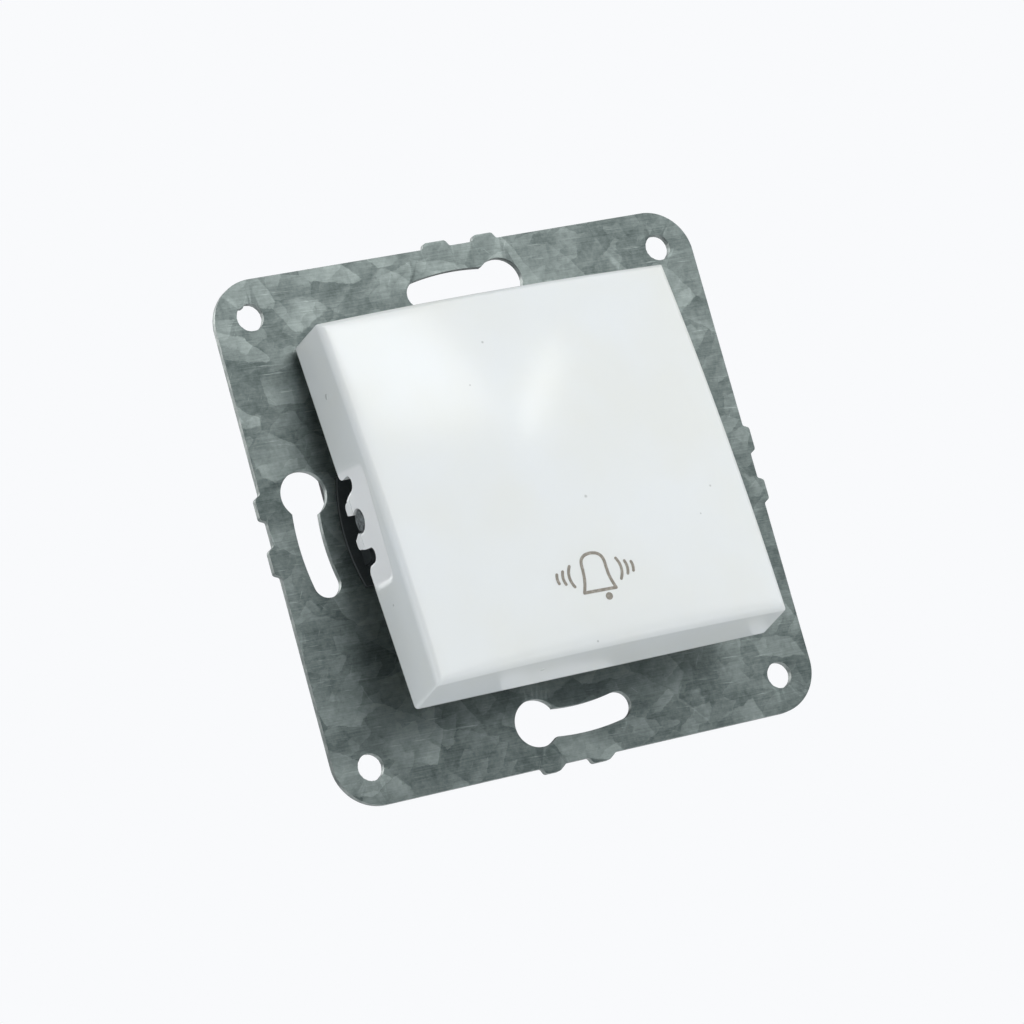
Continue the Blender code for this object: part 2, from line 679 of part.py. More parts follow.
def ear_rib(side, label):
    """Round-topped rib on the ear's outer face, below the pivot."""
    half = EAR_RIB_WIDTH / 2
    y = PIVOT.y - EAR_RIB_OFFSET
    foot = CARRIER_FRONT - FINE_GAP
    top = CARRIER_FRONT + EAR_RIB_HEIGHT - half
    outline = [(y - half, foot), (y + half, foot)] + arc((y, top), half, 0, 180, 6)
    thick = [side * (EAR_OUTER_X - SINK), side * (EAR_OUTER_X + EAR_CLEARANCE - SEAT_GAP)]
    return loft(f"ear rib {label}", [[(x, a, z) for a, z in outline] for x in thick])


def cover_under(x, along):
    """Height of the cover's inner face over its pivot, at a place on the cover."""
    return crown(x, along) - COVER_TOP - PIVOT_ABOVE_RIM


def from_cover(along, up):
    """A (y, z) place in the face frame of a point on the resting cover."""
    cosine = math.cos(REST_TILT)
    sine = math.sin(REST_TILT)
    return (PIVOT.y + along * cosine + up * sine, PIVOT.z - along * sine + up * cosine)


def to_cover(y, z):
    """The (along, up) place on the resting cover of a point in the face frame."""
    cosine = math.cos(REST_TILT)
    sine = math.sin(REST_TILT)
    return ((y - PIVOT.y) * cosine - (z - PIVOT.z) * sine, (y - PIVOT.y) * sine + (z - PIVOT.z) * cosine)


def rest_stop(side, label):
    """Tapered post that the top half of the cover rests on."""
    top = from_cover(REST_STOP_Y, cover_under(REST_STOP_X, REST_STOP_Y))
    centre = (side * REST_STOP_X, top[0])
    profile = [
        (REST_STOP_RADIUS, CARRIER_FRONT - FINE_GAP),
        (REST_STOP_RADIUS * 0.8, top[1] - REST_STOP_RADIUS),
        (REST_STOP_RADIUS * 0.4, top[1] - SEAT_GAP),
    ]
    return turned_body(f"rest stop {label}", profile, 12, centre)


def latch_tongue(side):
    """Tongue that runs down inside the housing's wall, with a hook in its window."""
    outer = CAVITY_Y - SEAT_GAP
    inner = outer - TONGUE_THICKNESS
    hook = CAVITY_Y + HOUSING_WALL * 0.6
    end = -TONGUE_LENGTH
    profile = [
        (inner, FINE_GAP),
        (inner, end + TONGUE_THICKNESS / 3),
        (inner + TONGUE_THICKNESS / 3, end),
        (outer - TONGUE_THICKNESS / 6, end),
        (hook, end + HOOK_HEIGHT * 0.7),
        (hook, end + HOOK_HEIGHT),
        (outer, end + HOOK_HEIGHT),
        (outer, FINE_GAP),
    ]
    half = TONGUE_WIDTH / 2
    name = "latch tongue top" if side > 0 else "latch tongue bottom"
    return loft(name, [[(x, side * y, z) for y, z in profile] for x in (-half, half)])


def crown(x, along):
    """Height of the cover's top face over its rim: higher in the middle, both ways."""
    across = 1 - (2 * x / COVER_WIDTH) ** 2
    lengthways = 1 - (2 * along / COVER_LENGTH) ** 2
    rise = COVER_CROWN_ACROSS * across + COVER_CROWN_ALONG * lengthways
    return COVER_CORNER_HEIGHT + rise + COVER_CROWN_MIDDLE * across * lengthways


def cover_ring(inset, height_of, shrink=1.0):
    """One ring of the cover in its own frame, whose origin is the pivot."""
    radius = max(COVER_CORNER_RADIUS - inset, COVER_CORNER_RADIUS * 0.4)
    outline = rounded_rectangle(COVER_WIDTH - 2 * inset, COVER_LENGTH - 2 * inset, radius, 8, 3)
    ring = []
    for x, along in outline:
        x = x * shrink
        along = along * shrink
        ring.append((x, along, height_of(x, along) - PIVOT_ABOVE_RIM))
    return ring


def build_cover():
    """Domed shell with ribs and a push post inside, and a snap clip in the middle of each side wall."""
    inner = COVER_WALL + COVER_DRAFT
    rings = [
        cover_ring(inner, lambda x, y: crown(x, y) - COVER_TOP, shrink)
        for shrink in (0.08, 0.4, 0.72, 1.0)
    ]
    rings += [cover_ring(COVER_WALL, lambda x, y: 0.0), cover_ring(0.0, lambda x, y: 0.0)]
    for step in range(4):
        turn = math.radians(30 * step)
        inset = COVER_DRAFT + COVER_EDGE_RADIUS * (1 - math.cos(turn))
        drop = COVER_EDGE_RADIUS * (1 - math.sin(turn))
        rings.append(cover_ring(inset, lambda x, y, drop=drop: crown(x, y) - drop))
    top_inset = COVER_DRAFT + COVER_EDGE_RADIUS
    rings += [cover_ring(top_inset, crown, shrink) for shrink in (0.8, 0.56, 0.32, 0.08)]
    item = loft("push_cover", rings)
    add(item, *cover_ribs(), push_post(), *on_both_sides(clip_finger_pad))
    cut(item, *on_both_sides(pocket), *on_both_sides(side_notches), *on_both_sides(clip_notch))
    return item


def cover_ribs():
    """Two long stiffening ribs under the top."""
    ribs = []
    for side, label in ((1, "right"), (-1, "left")):
        x = side * RIB_SPACING / 2
        steps = 6
        length = COVER_LENGTH - 2 * RIB_END_LAND
        along = [length * (i / steps - 0.5) for i in range(steps + 1)]
        lower = [(y, cover_under(x, y) - RIB_DEPTH) for y in along]
        upper = [(y, cover_under(x, y) + COVER_TOP / 3) for y in reversed(along)]
        thick = (x - RIB_THICKNESS / 2, x + RIB_THICKNESS / 2)
        rings = [[(depth, y, z) for y, z in lower + upper] for depth in thick]
        ribs.append(loft(f"cover rib {label}", rings))
    return ribs


def push_post():
    """Post with a round end that bears on the plunger."""
    along, up = to_cover(PLUNGER_Y, PLUNGER_HEAD + SEAT_GAP + PUSH_POST_RADIUS)
    angles = [math.radians(angle) for angle in (-75, -50, -25, 0)]
    profile = [(PUSH_POST_RADIUS * math.cos(a), up + PUSH_POST_RADIUS * math.sin(a)) for a in angles]
    profile.append((PUSH_POST_RADIUS * 1.25, cover_under(0.0, along) + COVER_TOP / 3))
    return turned_body("push post", profile, 16, (0.0, along))


def wall_prism(name, side, outline, inner, outer):
    """A (along, up) outline drawn out across the cover's side wall."""
    thick = (side * inner, side * outer)
    return loft(name, [[(x, along, up) for along, up in outline] for x in thick])


def clip_finger_pad(side, label):
    """The two fingers' tips below the rim, before the clip is cut between them."""
    half = FINGER_WIDTH / 2
    rim = -PIVOT_ABOVE_RIM
    tip = rim - FINGER_LENGTH + half
    reach = FINGER_OFFSET
    outline = [(reach + half, rim + 2 * SINK)]
    outline += [(reach + half, tip)] + arc((reach, tip), half, 0, -90, 4)[1:]
    outline += arc((-reach, tip), half, -90, -180, 4) + [(-reach - half, rim + 2 * SINK)]
    wall_outer = COVER_WIDTH / 2 - FINE_GAP
    return wall_prism(f"clip fingers {label}", side, outline, wall_outer - COVER_WALL + SEAT_GAP, wall_outer)


def clip_notch(side, label):
    """Round seat for the trunnion, open to the rim through a neck narrower than the pin."""
    radius = TRUNNION_RADIUS + CLIP_GAP
    open_angle = math.degrees(math.acos((radius - CLIP_SNAP) / radius))
    below = PIVOT_ABOVE_RIM + FINGER_LENGTH + OVERRUN
    flare = FINGER_OFFSET - FINGER_WIDTH / 2 + CLIP_FLARE
    outline = arc((0.0, 0.0), radius, -open_angle, 180 + open_angle, 14)
    outline += [(-flare, -below), (flare, -below)]
    near = COVER_WIDTH / 2 - 2 * COVER_WALL
    return wall_prism(f"clip seat {label}", side, outline, near, COVER_WIDTH / 2 + OVERRUN)


def side_notches(side, label):
    """The relief notches on each side of the clip, eased where they run out at the rim."""
    rim = -PIVOT_ABOVE_RIM
    top = rim + NOTCH_HEIGHT - NOTCH_RADIUS
    inner = FINGER_OFFSET + FINGER_WIDTH / 2
    ease = NOTCH_OFFSET + NOTCH_RADIUS + NOTCH_FLARE
    low = rim - FINGER_LENGTH - OVERRUN
    outline = [(inner, rim - FINGER_LENGTH * 0.4), (inner + NOTCH_TAPER, rim + NOTCH_FLARE)]
    outline += arc((NOTCH_OFFSET, top), NOTCH_RADIUS, 180, 0, 8)
    outline += arc((ease, rim + NOTCH_FLARE), NOTCH_FLARE, 180, 255, 5)
    outline += [(ease, rim - SINK), (ease, low), (inner, low)]
    near = COVER_WIDTH / 2 - 2 * COVER_WALL
    far = COVER_WIDTH / 2 + OVERRUN
    first = wall_prism(f"side notch a {label}", side, outline, near, far)
    mirrored = [(-along, up) for along, up in outline]
    second = wall_prism(f"side notch b {label}", side, mirrored, near, far)
    add(first, second)
    return first


def pocket(side, label):
    """Shallow pocket round the clip, flush at the rim and deepest at its upper edge."""
    rim = -PIVOT_ABOVE_RIM
    outline = rounded_rectangle(POCKET_WIDTH, 2 * POCKET_HEIGHT, POCKET_CORNER, 1, 4)
    lean = math.tan(POCKET_LEAN)
    slope = math.tan(POCKET_SLOPE)
    fall = (COVER_DRAFT + POCKET_DEPTH) / POCKET_HEIGHT
    rings = []
    for out in (0.0, 2 * OVERRUN):
        ring = []
        for along, up in outline:
            depth = COVER_WIDTH / 2 - fall * up + out
            ring.append((side * depth, along - lean * up + POCKET_SHIFT, up + slope * along + rim))
        rings.append(ring)
    return loft(f"clip pocket {label}", rings)


def build_plunger():
    """Guided stem with a stop collar, a window for the contact bridge and a pin for the return spring."""
    centre = (0.0, PLUNGER_Y)
    stem_profile = [
        (GUIDE_RADIUS, COLLAR_FRONT - COLLAR_THICKNESS),
        (GUIDE_RADIUS, COLLAR_FRONT),
        (PLUNGER_RADIUS, COLLAR_FRONT),
        (PLUNGER_RADIUS, PLUNGER_HEAD - PLUNGER_EDGE),
        (PLUNGER_RADIUS - PLUNGER_EDGE, PLUNGER_HEAD),
    ]
    item = turned_body("plunger", stem_profile, ROUND_STEPS, centre)
    body = prism(
        "plunger body",
        rounded_rectangle(PLUNGER_BODY_WIDTH, PLUNGER_BODY_HEIGHT, PLUNGER_BODY_CORNER, 1, 2, centre),
        FOOT_BACK,
        COLLAR_FRONT - COLLAR_THICKNESS / 2,
    )
    pin_profile = [
        (SPRING_PIN_RADIUS * 0.7, FOOT_BACK - SPRING_PIN_LENGTH),
        (SPRING_PIN_RADIUS, FOOT_BACK - SPRING_PIN_LENGTH * 0.7),
        (SPRING_PIN_RADIUS, FOOT_BACK + SINK),
    ]
    pin = turned_body("spring pin", pin_profile, 16, centre)
    half = BRIDGE_WIDTH / 2 + SLIDE_GAP
    window = box(
        "bridge window",
        (-PLUNGER_BODY_WIDTH, PLUNGER_Y - half, WINDOW_BACK),
        (PLUNGER_BODY_WIDTH, PLUNGER_Y + half, WINDOW_FRONT),
    )
    add(item, body, pin)
    cut(item, window)
    return item


def build_bridge():
    """Springy strip across the plunger's window, drilled for its two contact tips."""
    outline = rounded_rectangle(BRIDGE_LENGTH, BRIDGE_WIDTH, BRIDGE_CORNER, 1, 4, (0.0, PLUNGER_Y))
    holes = [circle(TIP_SHANK_RADIUS + FINE_GAP, 12, (side * TIP_SPACING / 2, PLUNGER_Y)) for side in (1, -1)]
    return pierced_sheet("contact_bridge", outline, holes, BRIDGE_BACK, BRIDGE_FRONT)


def build_tip(name, side, face, direction, strip_thickness):
    """Rivet-like contact tip: a domed face, and a shank through the strip that carries it."""
    seat = face - direction * TIP_HEIGHT
    shank_end = seat - direction * (strip_thickness + 2 * FINE_GAP)
    profile = [
        (TIP_SHANK_RADIUS, shank_end),
        (TIP_SHANK_RADIUS, seat),
        (TIP_RADIUS, seat),
        (TIP_RADIUS, face - direction * TIP_HEIGHT / 3),
        (TIP_RADIUS * 0.6, face),
    ]
    return turned_body(name, profile, 12, (side * TIP_SPACING / 2, PLUNGER_Y))


def build_fixed_contact(side, label):
    """L-shaped strip from under the bridge to the terminal block, with a tongue turned up at the block."""
    half = STRIP_WIDTH / 2
    near = TIP_SPACING / 2 - TIP_RADIUS - STRIP_END_LAND
    far = BLOCK_X + half
    block_face = TERMINAL_Y - BLOCK_LENGTH / 2
    leg_end = block_face - FINE_GAP
    outline = [
        (near, PLUNGER_Y - half),
        (far, PLUNGER_Y - half),
        (far, leg_end),
        (far - STRIP_WIDTH, leg_end),
        (far - STRIP_WIDTH, PLUNGER_Y + half),
        (near, PLUNGER_Y + half),
    ]
    hole = circle(TIP_SHANK_RADIUS + FINE_GAP, 12, (TIP_SPACING / 2, PLUNGER_Y))
    outline = [(side * x, y) for x, y in outline]
    hole = [(side * x, y) for x, y in hole]
    item = pierced_sheet(f"fixed_contact_{label}", outline, [hole], STRIP_BACK, STRIP_FRONT)
    edges = sorted((side * (far - STRIP_WIDTH + FINE_GAP), side * (far - FINE_GAP)))
    tongue = box(
        f"strip tongue {label}",
        (edges[0], leg_end - STRIP_THICKNESS, STRIP_BACK + STRIP_THICKNESS / 2),
        (edges[1], leg_end - FINE_GAP, STRIP_FRONT + STRIP_TONGUE_HEIGHT),
    )
    add(item, tongue)
    return item


def build_terminal_block(side, label):
    """Brass block with a wire hole from the rear and a screw hole from the side."""
    centre = (side * BLOCK_X, TERMINAL_Y)
    outline = rounded_rectangle(BLOCK_WIDTH, BLOCK_LENGTH, BLOCK_EDGE, 1, 1, centre)
    item = prism(f"terminal_block_{label}", outline, BLOCK_BACK, BLOCK_FRONT)
    wire = drill(f"wire hole {label}", WIRE_HOLE_RADIUS, BLOCK_BACK, BLOCK_FRONT, 16, centre)
    tap = drill(f"screw hole {label}", SCREW_RADIUS + FINE_GAP, OVERRUN, BLOCK_WIDTH / 2, 16)
    along_x(tap, 0.0)
    if side < 0:
        tap.data.transform(Matrix.Rotation(math.pi, 4, "Z"))
    moved(tap, side * BLOCK_X, TERMINAL_Y, SCREW_Z)
    cut(item, wire, tap)
    return item


def build_terminal_screw(side, label):
    """Slotted screw in the block, its head in the housing's side hole."""
    block_face = BLOCK_X + BLOCK_WIDTH / 2
    head_start = block_face + SEAT_GAP
    start = BLOCK_X + WIRE_HOLE_RADIUS * 0.6
    profile = [
        (SCREW_RADIUS * 0.7, start),
        (SCREW_RADIUS, start + SCREW_RADIUS * 0.3),
        (SCREW_RADIUS, head_start),
        (SCREW_HEAD_RADIUS, head_start),
        (SCREW_HEAD_RADIUS, head_start + SCREW_HEAD_HEIGHT - SCREW_EDGE),
        (SCREW_HEAD_RADIUS - SCREW_EDGE, head_start + SCREW_HEAD_HEIGHT),
    ]
    item = along_x(turned_body(f"terminal_screw_{label}", profile, 16))
    slot = box(
        f"driver slot {label}",
        (head_start + SCREW_HEAD_HEIGHT - SCREW_SLOT_DEPTH, -2 * SCREW_HEAD_RADIUS, -SCREW_SLOT_WIDTH / 2),
        (head_start + SCREW_HEAD_HEIGHT + OVERRUN, 2 * SCREW_HEAD_RADIUS, SCREW_SLOT_WIDTH / 2),
    )
    for piece in (item, slot):
        if side < 0:
            piece.data.transform(Matrix.Rotation(math.pi, 4, "Z"))
        moved(piece, 0.0, TERMINAL_Y, SCREW_Z)
    cut(item, slot)
    return item


def build_spring(name, radius, wire, back, front, turns, steps=12):
    """Coil spring with closed end turns, as a round wire on its helix."""
    total = turns * steps
    low = back + wire / 2
    high = front - wire / 2
    curve = bpy.data.curves.new(name, "CURVE")
    curve.dimensions = "3D"
    curve.bevel_depth = wire / 2
    curve.bevel_resolution = 1
    curve.use_fill_caps = True
    line = curve.splines.new("POLY")
    line.points.add(total)
    for i in range(total + 1):
        share = i / total
        turn = turns * share
        rise = min(max((turn - SPRING_END_TURNS) / (turns - 2 * SPRING_END_TURNS), 0.0), 1.0)
        first_end = min(turn / SPRING_END_TURNS, 1.0)
        last_end = max((turn - turns) / SPRING_END_TURNS + 1.0, 0.0)
        angle = 2 * math.pi * turn
        shift = wire * SPRING_END_PITCH * (first_end + last_end)
        height = low + shift + (high - low - 2 * SPRING_END_PITCH * wire) * rise
        line.points[i].co = (radius * math.cos(angle), PLUNGER_Y + radius * math.sin(angle), height, 1.0)
    item = bpy.data.objects.new(name, curve)
    bpy.context.scene.collection.objects.link(item)
    return item


def dress(finish, *items):
    """Gives each piece its material."""
    for item in items:
        item.data.materials.append(finish)


def main():
    """Builds every piece in the face frame, then stands the frame up."""
    clear_scene()
    face = bpy.data.objects.new("face_frame", None)
    pivot = bpy.data.objects.new("cover_pivot", None)
    for empty in (face, pivot):
        bpy.context.scene.collection.objects.link(empty)
    face.rotation_euler.x = math.radians(90)
    pivot.parent = face
    pivot.location = PIVOT
    pivot.rotation_euler.x = -REST_TILT

    plate = build_support_plate()
    rivets = [build_rivet(index + 1, place) for index, place in enumerate(rivet_places())]
    housing = build_housing()
    carrier = build_carrier()
    cover = build_cover()
    plunger = build_plunger()
    bridge = build_bridge()
    moving_tips = on_both_sides(
        lambda side, label: build_tip(f"moving_tip_{label}", side, MOVING_TIP_FACE, -1, BRIDGE_THICKNESS)
    )
    fixed_tips = on_both_sides(
        lambda side, label: build_tip(f"fixed_tip_{label}", side, FIXED_TIP_FACE, 1, STRIP_THICKNESS)
    )
    contacts = on_both_sides(build_fixed_contact)
    blocks = on_both_sides(build_terminal_block)
    screws = on_both_sides(build_terminal_screw)
    bridge_spring = build_spring(
        "bridge_spring", BRIDGE_SPRING_RADIUS, BRIDGE_SPRING_WIRE,
        BRIDGE_FRONT + FINE_GAP, WINDOW_FRONT - FINE_GAP, 4, 10,
    )
    return_spring = build_spring(
        "return_spring", RETURN_SPRING_RADIUS, RETURN_SPRING_WIRE,
        FLOOR + FINE_GAP, FOOT_BACK - FINE_GAP, 5,
    )

    dress(make_material("galvanised_steel", (0.16, 0.19, 0.19), 0.45, 1.0), plate, *rivets)
    dress(make_material("white_plastic", (0.80, 0.82, 0.83), 0.18, 0.0), cover)
    dress(make_material("grey_plastic", (0.018, 0.019, 0.021), 0.55, 0.0), housing, carrier)
    dress(make_material("natural_plastic", (0.55, 0.53, 0.48), 0.40, 0.0), plunger)
    dress(make_material("brass", (0.62, 0.43, 0.17), 0.30, 1.0), bridge, *contacts, *blocks)
    dress(make_material("silver", (0.78, 0.77, 0.74), 0.25, 1.0), *moving_tips, *fixed_tips)
    dress(make_material("spring_steel", (0.42, 0.43, 0.45), 0.30, 1.0), bridge_spring, return_spring)
    dress(make_material("zinc_plated_steel", (0.50, 0.52, 0.55), 0.35, 1.0), *screws)

    for item in list(bpy.context.scene.collection.objects):
        if item not in (face, pivot):
            item.parent = pivot if item is cover or is_helper_of(item, cover) else face


def is_helper_of(item, body):
    """Tells whether an object is a helper of one body, or of one of its helpers."""
    helpers = [step.object for step in body.modifiers if step.type == "BOOLEAN"]
    return item in helpers or any(is_helper_of(item, helper) for helper in helpers)


main()
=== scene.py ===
"""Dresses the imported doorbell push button: galvanised plate, white rocking cover and dark mouldings.

Sizes are in millimetres in a face frame (x right, y up the plate, z out of the wall, z = 0 on the wall).
stand() turns that frame up: the row frame has z up and the cover faces -y. The cover has a frame of its
own at its pivot (x, along towards its top, up out of its face), because it rests tilted.
"""

import json
import logging
import math
import random
import sys
from collections.abc import Callable, Iterable, Sequence
from dataclasses import dataclass
from enum import Enum
from functools import partial

import bmesh
import bpy
from mathutils import Euler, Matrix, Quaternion, Vector

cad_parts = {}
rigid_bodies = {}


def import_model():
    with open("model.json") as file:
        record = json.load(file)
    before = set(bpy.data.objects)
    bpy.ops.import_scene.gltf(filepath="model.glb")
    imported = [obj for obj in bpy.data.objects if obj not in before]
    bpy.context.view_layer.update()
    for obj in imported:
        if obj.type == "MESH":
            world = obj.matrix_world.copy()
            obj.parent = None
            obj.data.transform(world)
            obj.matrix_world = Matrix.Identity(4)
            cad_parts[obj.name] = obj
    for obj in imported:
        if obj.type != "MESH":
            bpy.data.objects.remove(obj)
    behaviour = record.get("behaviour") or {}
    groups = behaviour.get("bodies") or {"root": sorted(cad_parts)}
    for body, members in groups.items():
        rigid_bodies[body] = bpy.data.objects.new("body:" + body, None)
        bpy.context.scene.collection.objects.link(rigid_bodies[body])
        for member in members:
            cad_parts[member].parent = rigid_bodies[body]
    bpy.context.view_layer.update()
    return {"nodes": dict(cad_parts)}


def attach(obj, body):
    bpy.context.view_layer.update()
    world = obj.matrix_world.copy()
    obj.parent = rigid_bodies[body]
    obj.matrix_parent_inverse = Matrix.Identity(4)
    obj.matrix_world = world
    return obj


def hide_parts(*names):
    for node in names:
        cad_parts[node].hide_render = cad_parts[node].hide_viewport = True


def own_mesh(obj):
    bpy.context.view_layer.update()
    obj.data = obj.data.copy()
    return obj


Flat = tuple[float, float]
Point = tuple[float, float, float]
Spot = tuple[float, float, float, float]
Value = bpy.types.Node | bpy.types.NodeSocket | float | int | bool | Sequence[float]
Inputs = dict[str | int, Value | list[bpy.types.Node]]
AddNode = Callable[..., bpy.types.Node]
Sockets = bpy.types.bpy_prop_collection
Placing = Callable[[float, float, float], Vector]
Form = Callable[[AddNode, Sockets], bpy.types.Node]

MM = 0.001
SHARP_ANGLE = 35.0
MERGE_DISTANCE = 0.005
FLAT_ANGLE = 0.5
ALIKE = (1.0, 1.0, 1.0)
LOG = logging.getLogger("doorbell")


class Body(Enum):
    """The bodies that pieces ride on."""

    FIXED = "fixed_parts"
    COVER = "cover"
    PLUNGER = "plunger_group"


class Side(Enum):
    """The two sides of the plate, by the sign of x."""

    RIGHT = 1
    LEFT = -1


# Shared small functions


def linear(code: str) -> tuple[float, float, float, float]:
    """Turns an sRGB hex colour into the linear one that shaders take.

    Args:
        code: Colour as six hex digits after a hash.

    Returns:
        Red, green, blue and alpha.
    """
    parts = [int(code[i : i + 2], 16) / 255 for i in (1, 3, 5)]
    turned = [c / 12.92 if c <= 0.04045 else ((c + 0.055) / 1.055) ** 2.4 for c in parts]
    return (turned[0], turned[1], turned[2], 1.0)


def feed(tree: bpy.types.NodeTree, node: bpy.types.Node, inputs: Inputs) -> None:
    """Sets or links the inputs of a node.

    Args:
        tree: Tree that the node is in.
        node: The node.
        inputs: By name or place, a value, a socket, or one or several nodes whose first output is taken.
    """
    for name, value in inputs.items():
        for one in value if isinstance(value, list) else [value]:
            if isinstance(one, bpy.types.Node):
                one = next(output for output in one.outputs if output.enabled)
            if isinstance(one, bpy.types.NodeSocket):
                tree.links.new(one, node.inputs[name])
            else:
                node.inputs[name].default_value = one


def add_node(
    tree: bpy.types.NodeTree, kind: str, inputs: Inputs | None = None, **settings: object
) -> bpy.types.Node:
    """Adds one node with its settings, values and links.

    Args:
        tree: Shader or geometry tree that gets the node.
        kind: Node type.
        inputs: What its inputs take, as for feed().
        settings: Properties of the node.

    Returns:
        The new node.
    """
    node = tree.nodes.new(kind)
    for name, value in settings.items():
        setattr(node, name, value)
    feed(tree, node, inputs or {})
    return node


def patches(
    add: AddNode,
    place: bpy.types.Node,
    scale: float,
    span: Flat,
    ends: Flat = (0.0, 1.0),
    detail: float = 2.0,
    rough: float = 0.5,
) -> bpy.types.Node:
    """Soft irregular patches: noise stretched between two of its levels.

    Args:
        add: Adds a node to the material.
        place: Coordinate in millimetres.
        scale: Patches per millimetre.
        span: Levels of the noise where the stretch starts and ends.
        ends: What the patches give there.
        detail: Octaves of finer noise.
        rough: Strength of the finer noise.

    Returns:
        The node that gives the patches.
    """
    noise = add("ShaderNodeTexNoise", {"Vector": place, "Scale": scale, "Detail": detail, "Roughness": rough})
    return add(
        "ShaderNodeMapRange",
        {"Value": noise, "From Min": span[0], "From Max": span[1], "To Min": ends[0], "To Max": ends[1]},
    )


def stand(x: float, y: float, z: float) -> Vector:
    """A point of the face frame in the row frame, in metres."""
    return Vector((x, -z, y)) * MM


def arc(centre: Flat, radius: float, start: float, end: float, steps: int) -> list[Flat]:
    """Points on an arc, both ends included.

    Args:
        centre: Centre of the arc.
        radius: Its radius.
        start: First angle in degrees.
        end: Last angle in degrees.
        steps: Number of chords.

    Returns:
        The points in order.
    """
    angles = [math.radians(start + (end - start) * i / steps) for i in range(steps + 1)]
    return [(centre[0] + radius * math.cos(a), centre[1] + radius * math.sin(a)) for a in angles]


def round_hole(centre: Flat, radius: float, steps: int) -> list[Flat]:
    """The closed outline of a circle, without the repeated last point."""
    return arc(centre, radius, 0, 360, steps)[:-1]


def turned(points: Iterable[Flat], angle: float) -> list[Flat]:
    """The points turned about the origin by an angle in degrees."""
    c, s = math.cos(math.radians(angle)), math.sin(math.radians(angle))
    return [(x * c - y * s, x * s + y * c) for x, y in points]


def rounded_rectangle(
    width: float, height: float, radius: float, side_steps: int, corner_steps: int
) -> list[Flat]:
    """A closed outline with arc corners about the origin.

    Args:
        width: Size along x.
        height: Size along y.
        radius: Corner radius.
        side_steps: Parts in each side.
        corner_steps: Chords in each corner.

    Returns:
        The points, without the repeated last one.
    """
    half_x, half_y = width / 2 - radius, height / 2 - radius
    centres = ((half_x, half_y), (-half_x, half_y), (-half_x, -half_y), (half_x, -half_y))
    points: list[Flat] = []
    for index, centre in enumerate(centres):
        points += arc(centre, radius, 90 * index, 90 * index + 90, corner_steps)
        here = Vector(points[-1])
        there = Vector(arc(centres[(index + 1) % 4], radius, 90 * index + 90, 90 * index + 90, 1)[0])
        points += [tuple(here.lerp(there, i / side_steps)) for i in range(1, side_steps)]
    return points


def smoothstep(low: float, high: float, value: float) -> float:
    """Rises smoothly from 0 at low to 1 at high."""
    t = min(max((value - low) / (high - low), 0.0), 1.0)
    return t * t * (3 - 2 * t)


def plain_mesh(item: bpy.types.Object) -> bpy.types.Object:
    """Turns an object with modifiers into a plain mesh in place.

    Args:
        item: Object whose modifiers are to be kept as mesh.

    Returns:
        The same object, without modifiers.
    """
    bpy.context.view_layer.update()
    graph = bpy.context.evaluated_depsgraph_get()
    made = bpy.data.meshes.new_from_object(item.evaluated_get(graph), depsgraph=graph)
    item.modifiers.clear()
    item.data = made
    made.name = item.name
    return item


def link(name: str, mesh: bpy.types.Mesh) -> bpy.types.Object:
    """Puts a mesh into the scene.

    Args:
        name: Name of the object.
        mesh: The mesh.

    Returns:
        The new object, at the origin.
    """
    item = bpy.data.objects.new(name, mesh)
    bpy.context.scene.collection.objects.link(item)
    return item


def from_bmesh(name: str, data: bmesh.types.BMesh, outward: bool = True) -> bpy.types.Object:
    """Turns a bmesh into an object.

    Args:
        name: Name of the object.
        data: The bmesh, which is freed.
        outward: Whether the faces are first turned outwards.

    Returns:
        The new object.
    """
    if outward:
        bmesh.ops.recalc_face_normals(data, faces=data.faces)
    mesh = bpy.data.meshes.new(name)
    data.to_mesh(mesh)
    data.free()
    return link(name, mesh)


def loft(name: str, rings: Sequence[Sequence[Vector]], tip: Vector | None = None) -> bpy.types.Object:
    """One closed body through rings of equal count.

    Args:
        name: Name of the object.
        rings: Rings of points in the row frame.
        tip: Point that closes the last ring, or None for a flat cap.

    Returns:
        The body.
    """
    data = bmesh.new()
    rows = [[data.verts.new(point) for point in ring] for ring in rings]
    count = len(rows[0])
    for low, high in zip(rows, rows[1:]):
        for i in range(count):
            data.faces.new((low[i], low[(i + 1) % count], high[(i + 1) % count], high[i]))
    data.faces.new(list(reversed(rows[0])))
    if tip is None:
        data.faces.new(rows[-1])
    else:
        top = data.verts.new(tip)
        for i in range(count):
            data.faces.new((rows[-1][i], rows[-1][(i + 1) % count], top))
    return from_bmesh(name, data)


def pierced(
    name: str,
    outline: Sequence[Flat],
    holes: Sequence[Sequence[Flat]],
    place: Placing,
    back: float,
    front: float,
) -> bpy.types.Object:
    """A sheet with holes, drawn out between two heights.

    Args:
        name: Name of the object.
        outline: Closed outer outline.
        holes: Closed outlines of the holes.
        place: Function from flat place and height to the row frame.
        back: Height of the back face.
        front: Height of the front face.

    Returns:
        The sheet.
    """
    data = bmesh.new()
    edges = []
    for ring in [outline, *holes]:
        corners = [data.verts.new((x, y, back)) for x, y in ring]
        edges += [data.edges.new(pair) for pair in zip(corners, corners[1:] + corners[:1])]
    filled = bmesh.ops.triangle_fill(data, use_beauty=True, use_dissolve=False, edges=edges)
    faces = [item for item in filled["geom"] if isinstance(item, bmesh.types.BMFace)]
    drawn = bmesh.ops.extrude_face_region(data, geom=faces)
    for item in drawn["geom"]:
        if isinstance(item, bmesh.types.BMVert):
            item.co.z = front
    for corner in data.verts:
        corner.co = place(*corner.co)
    return from_bmesh(name, data)


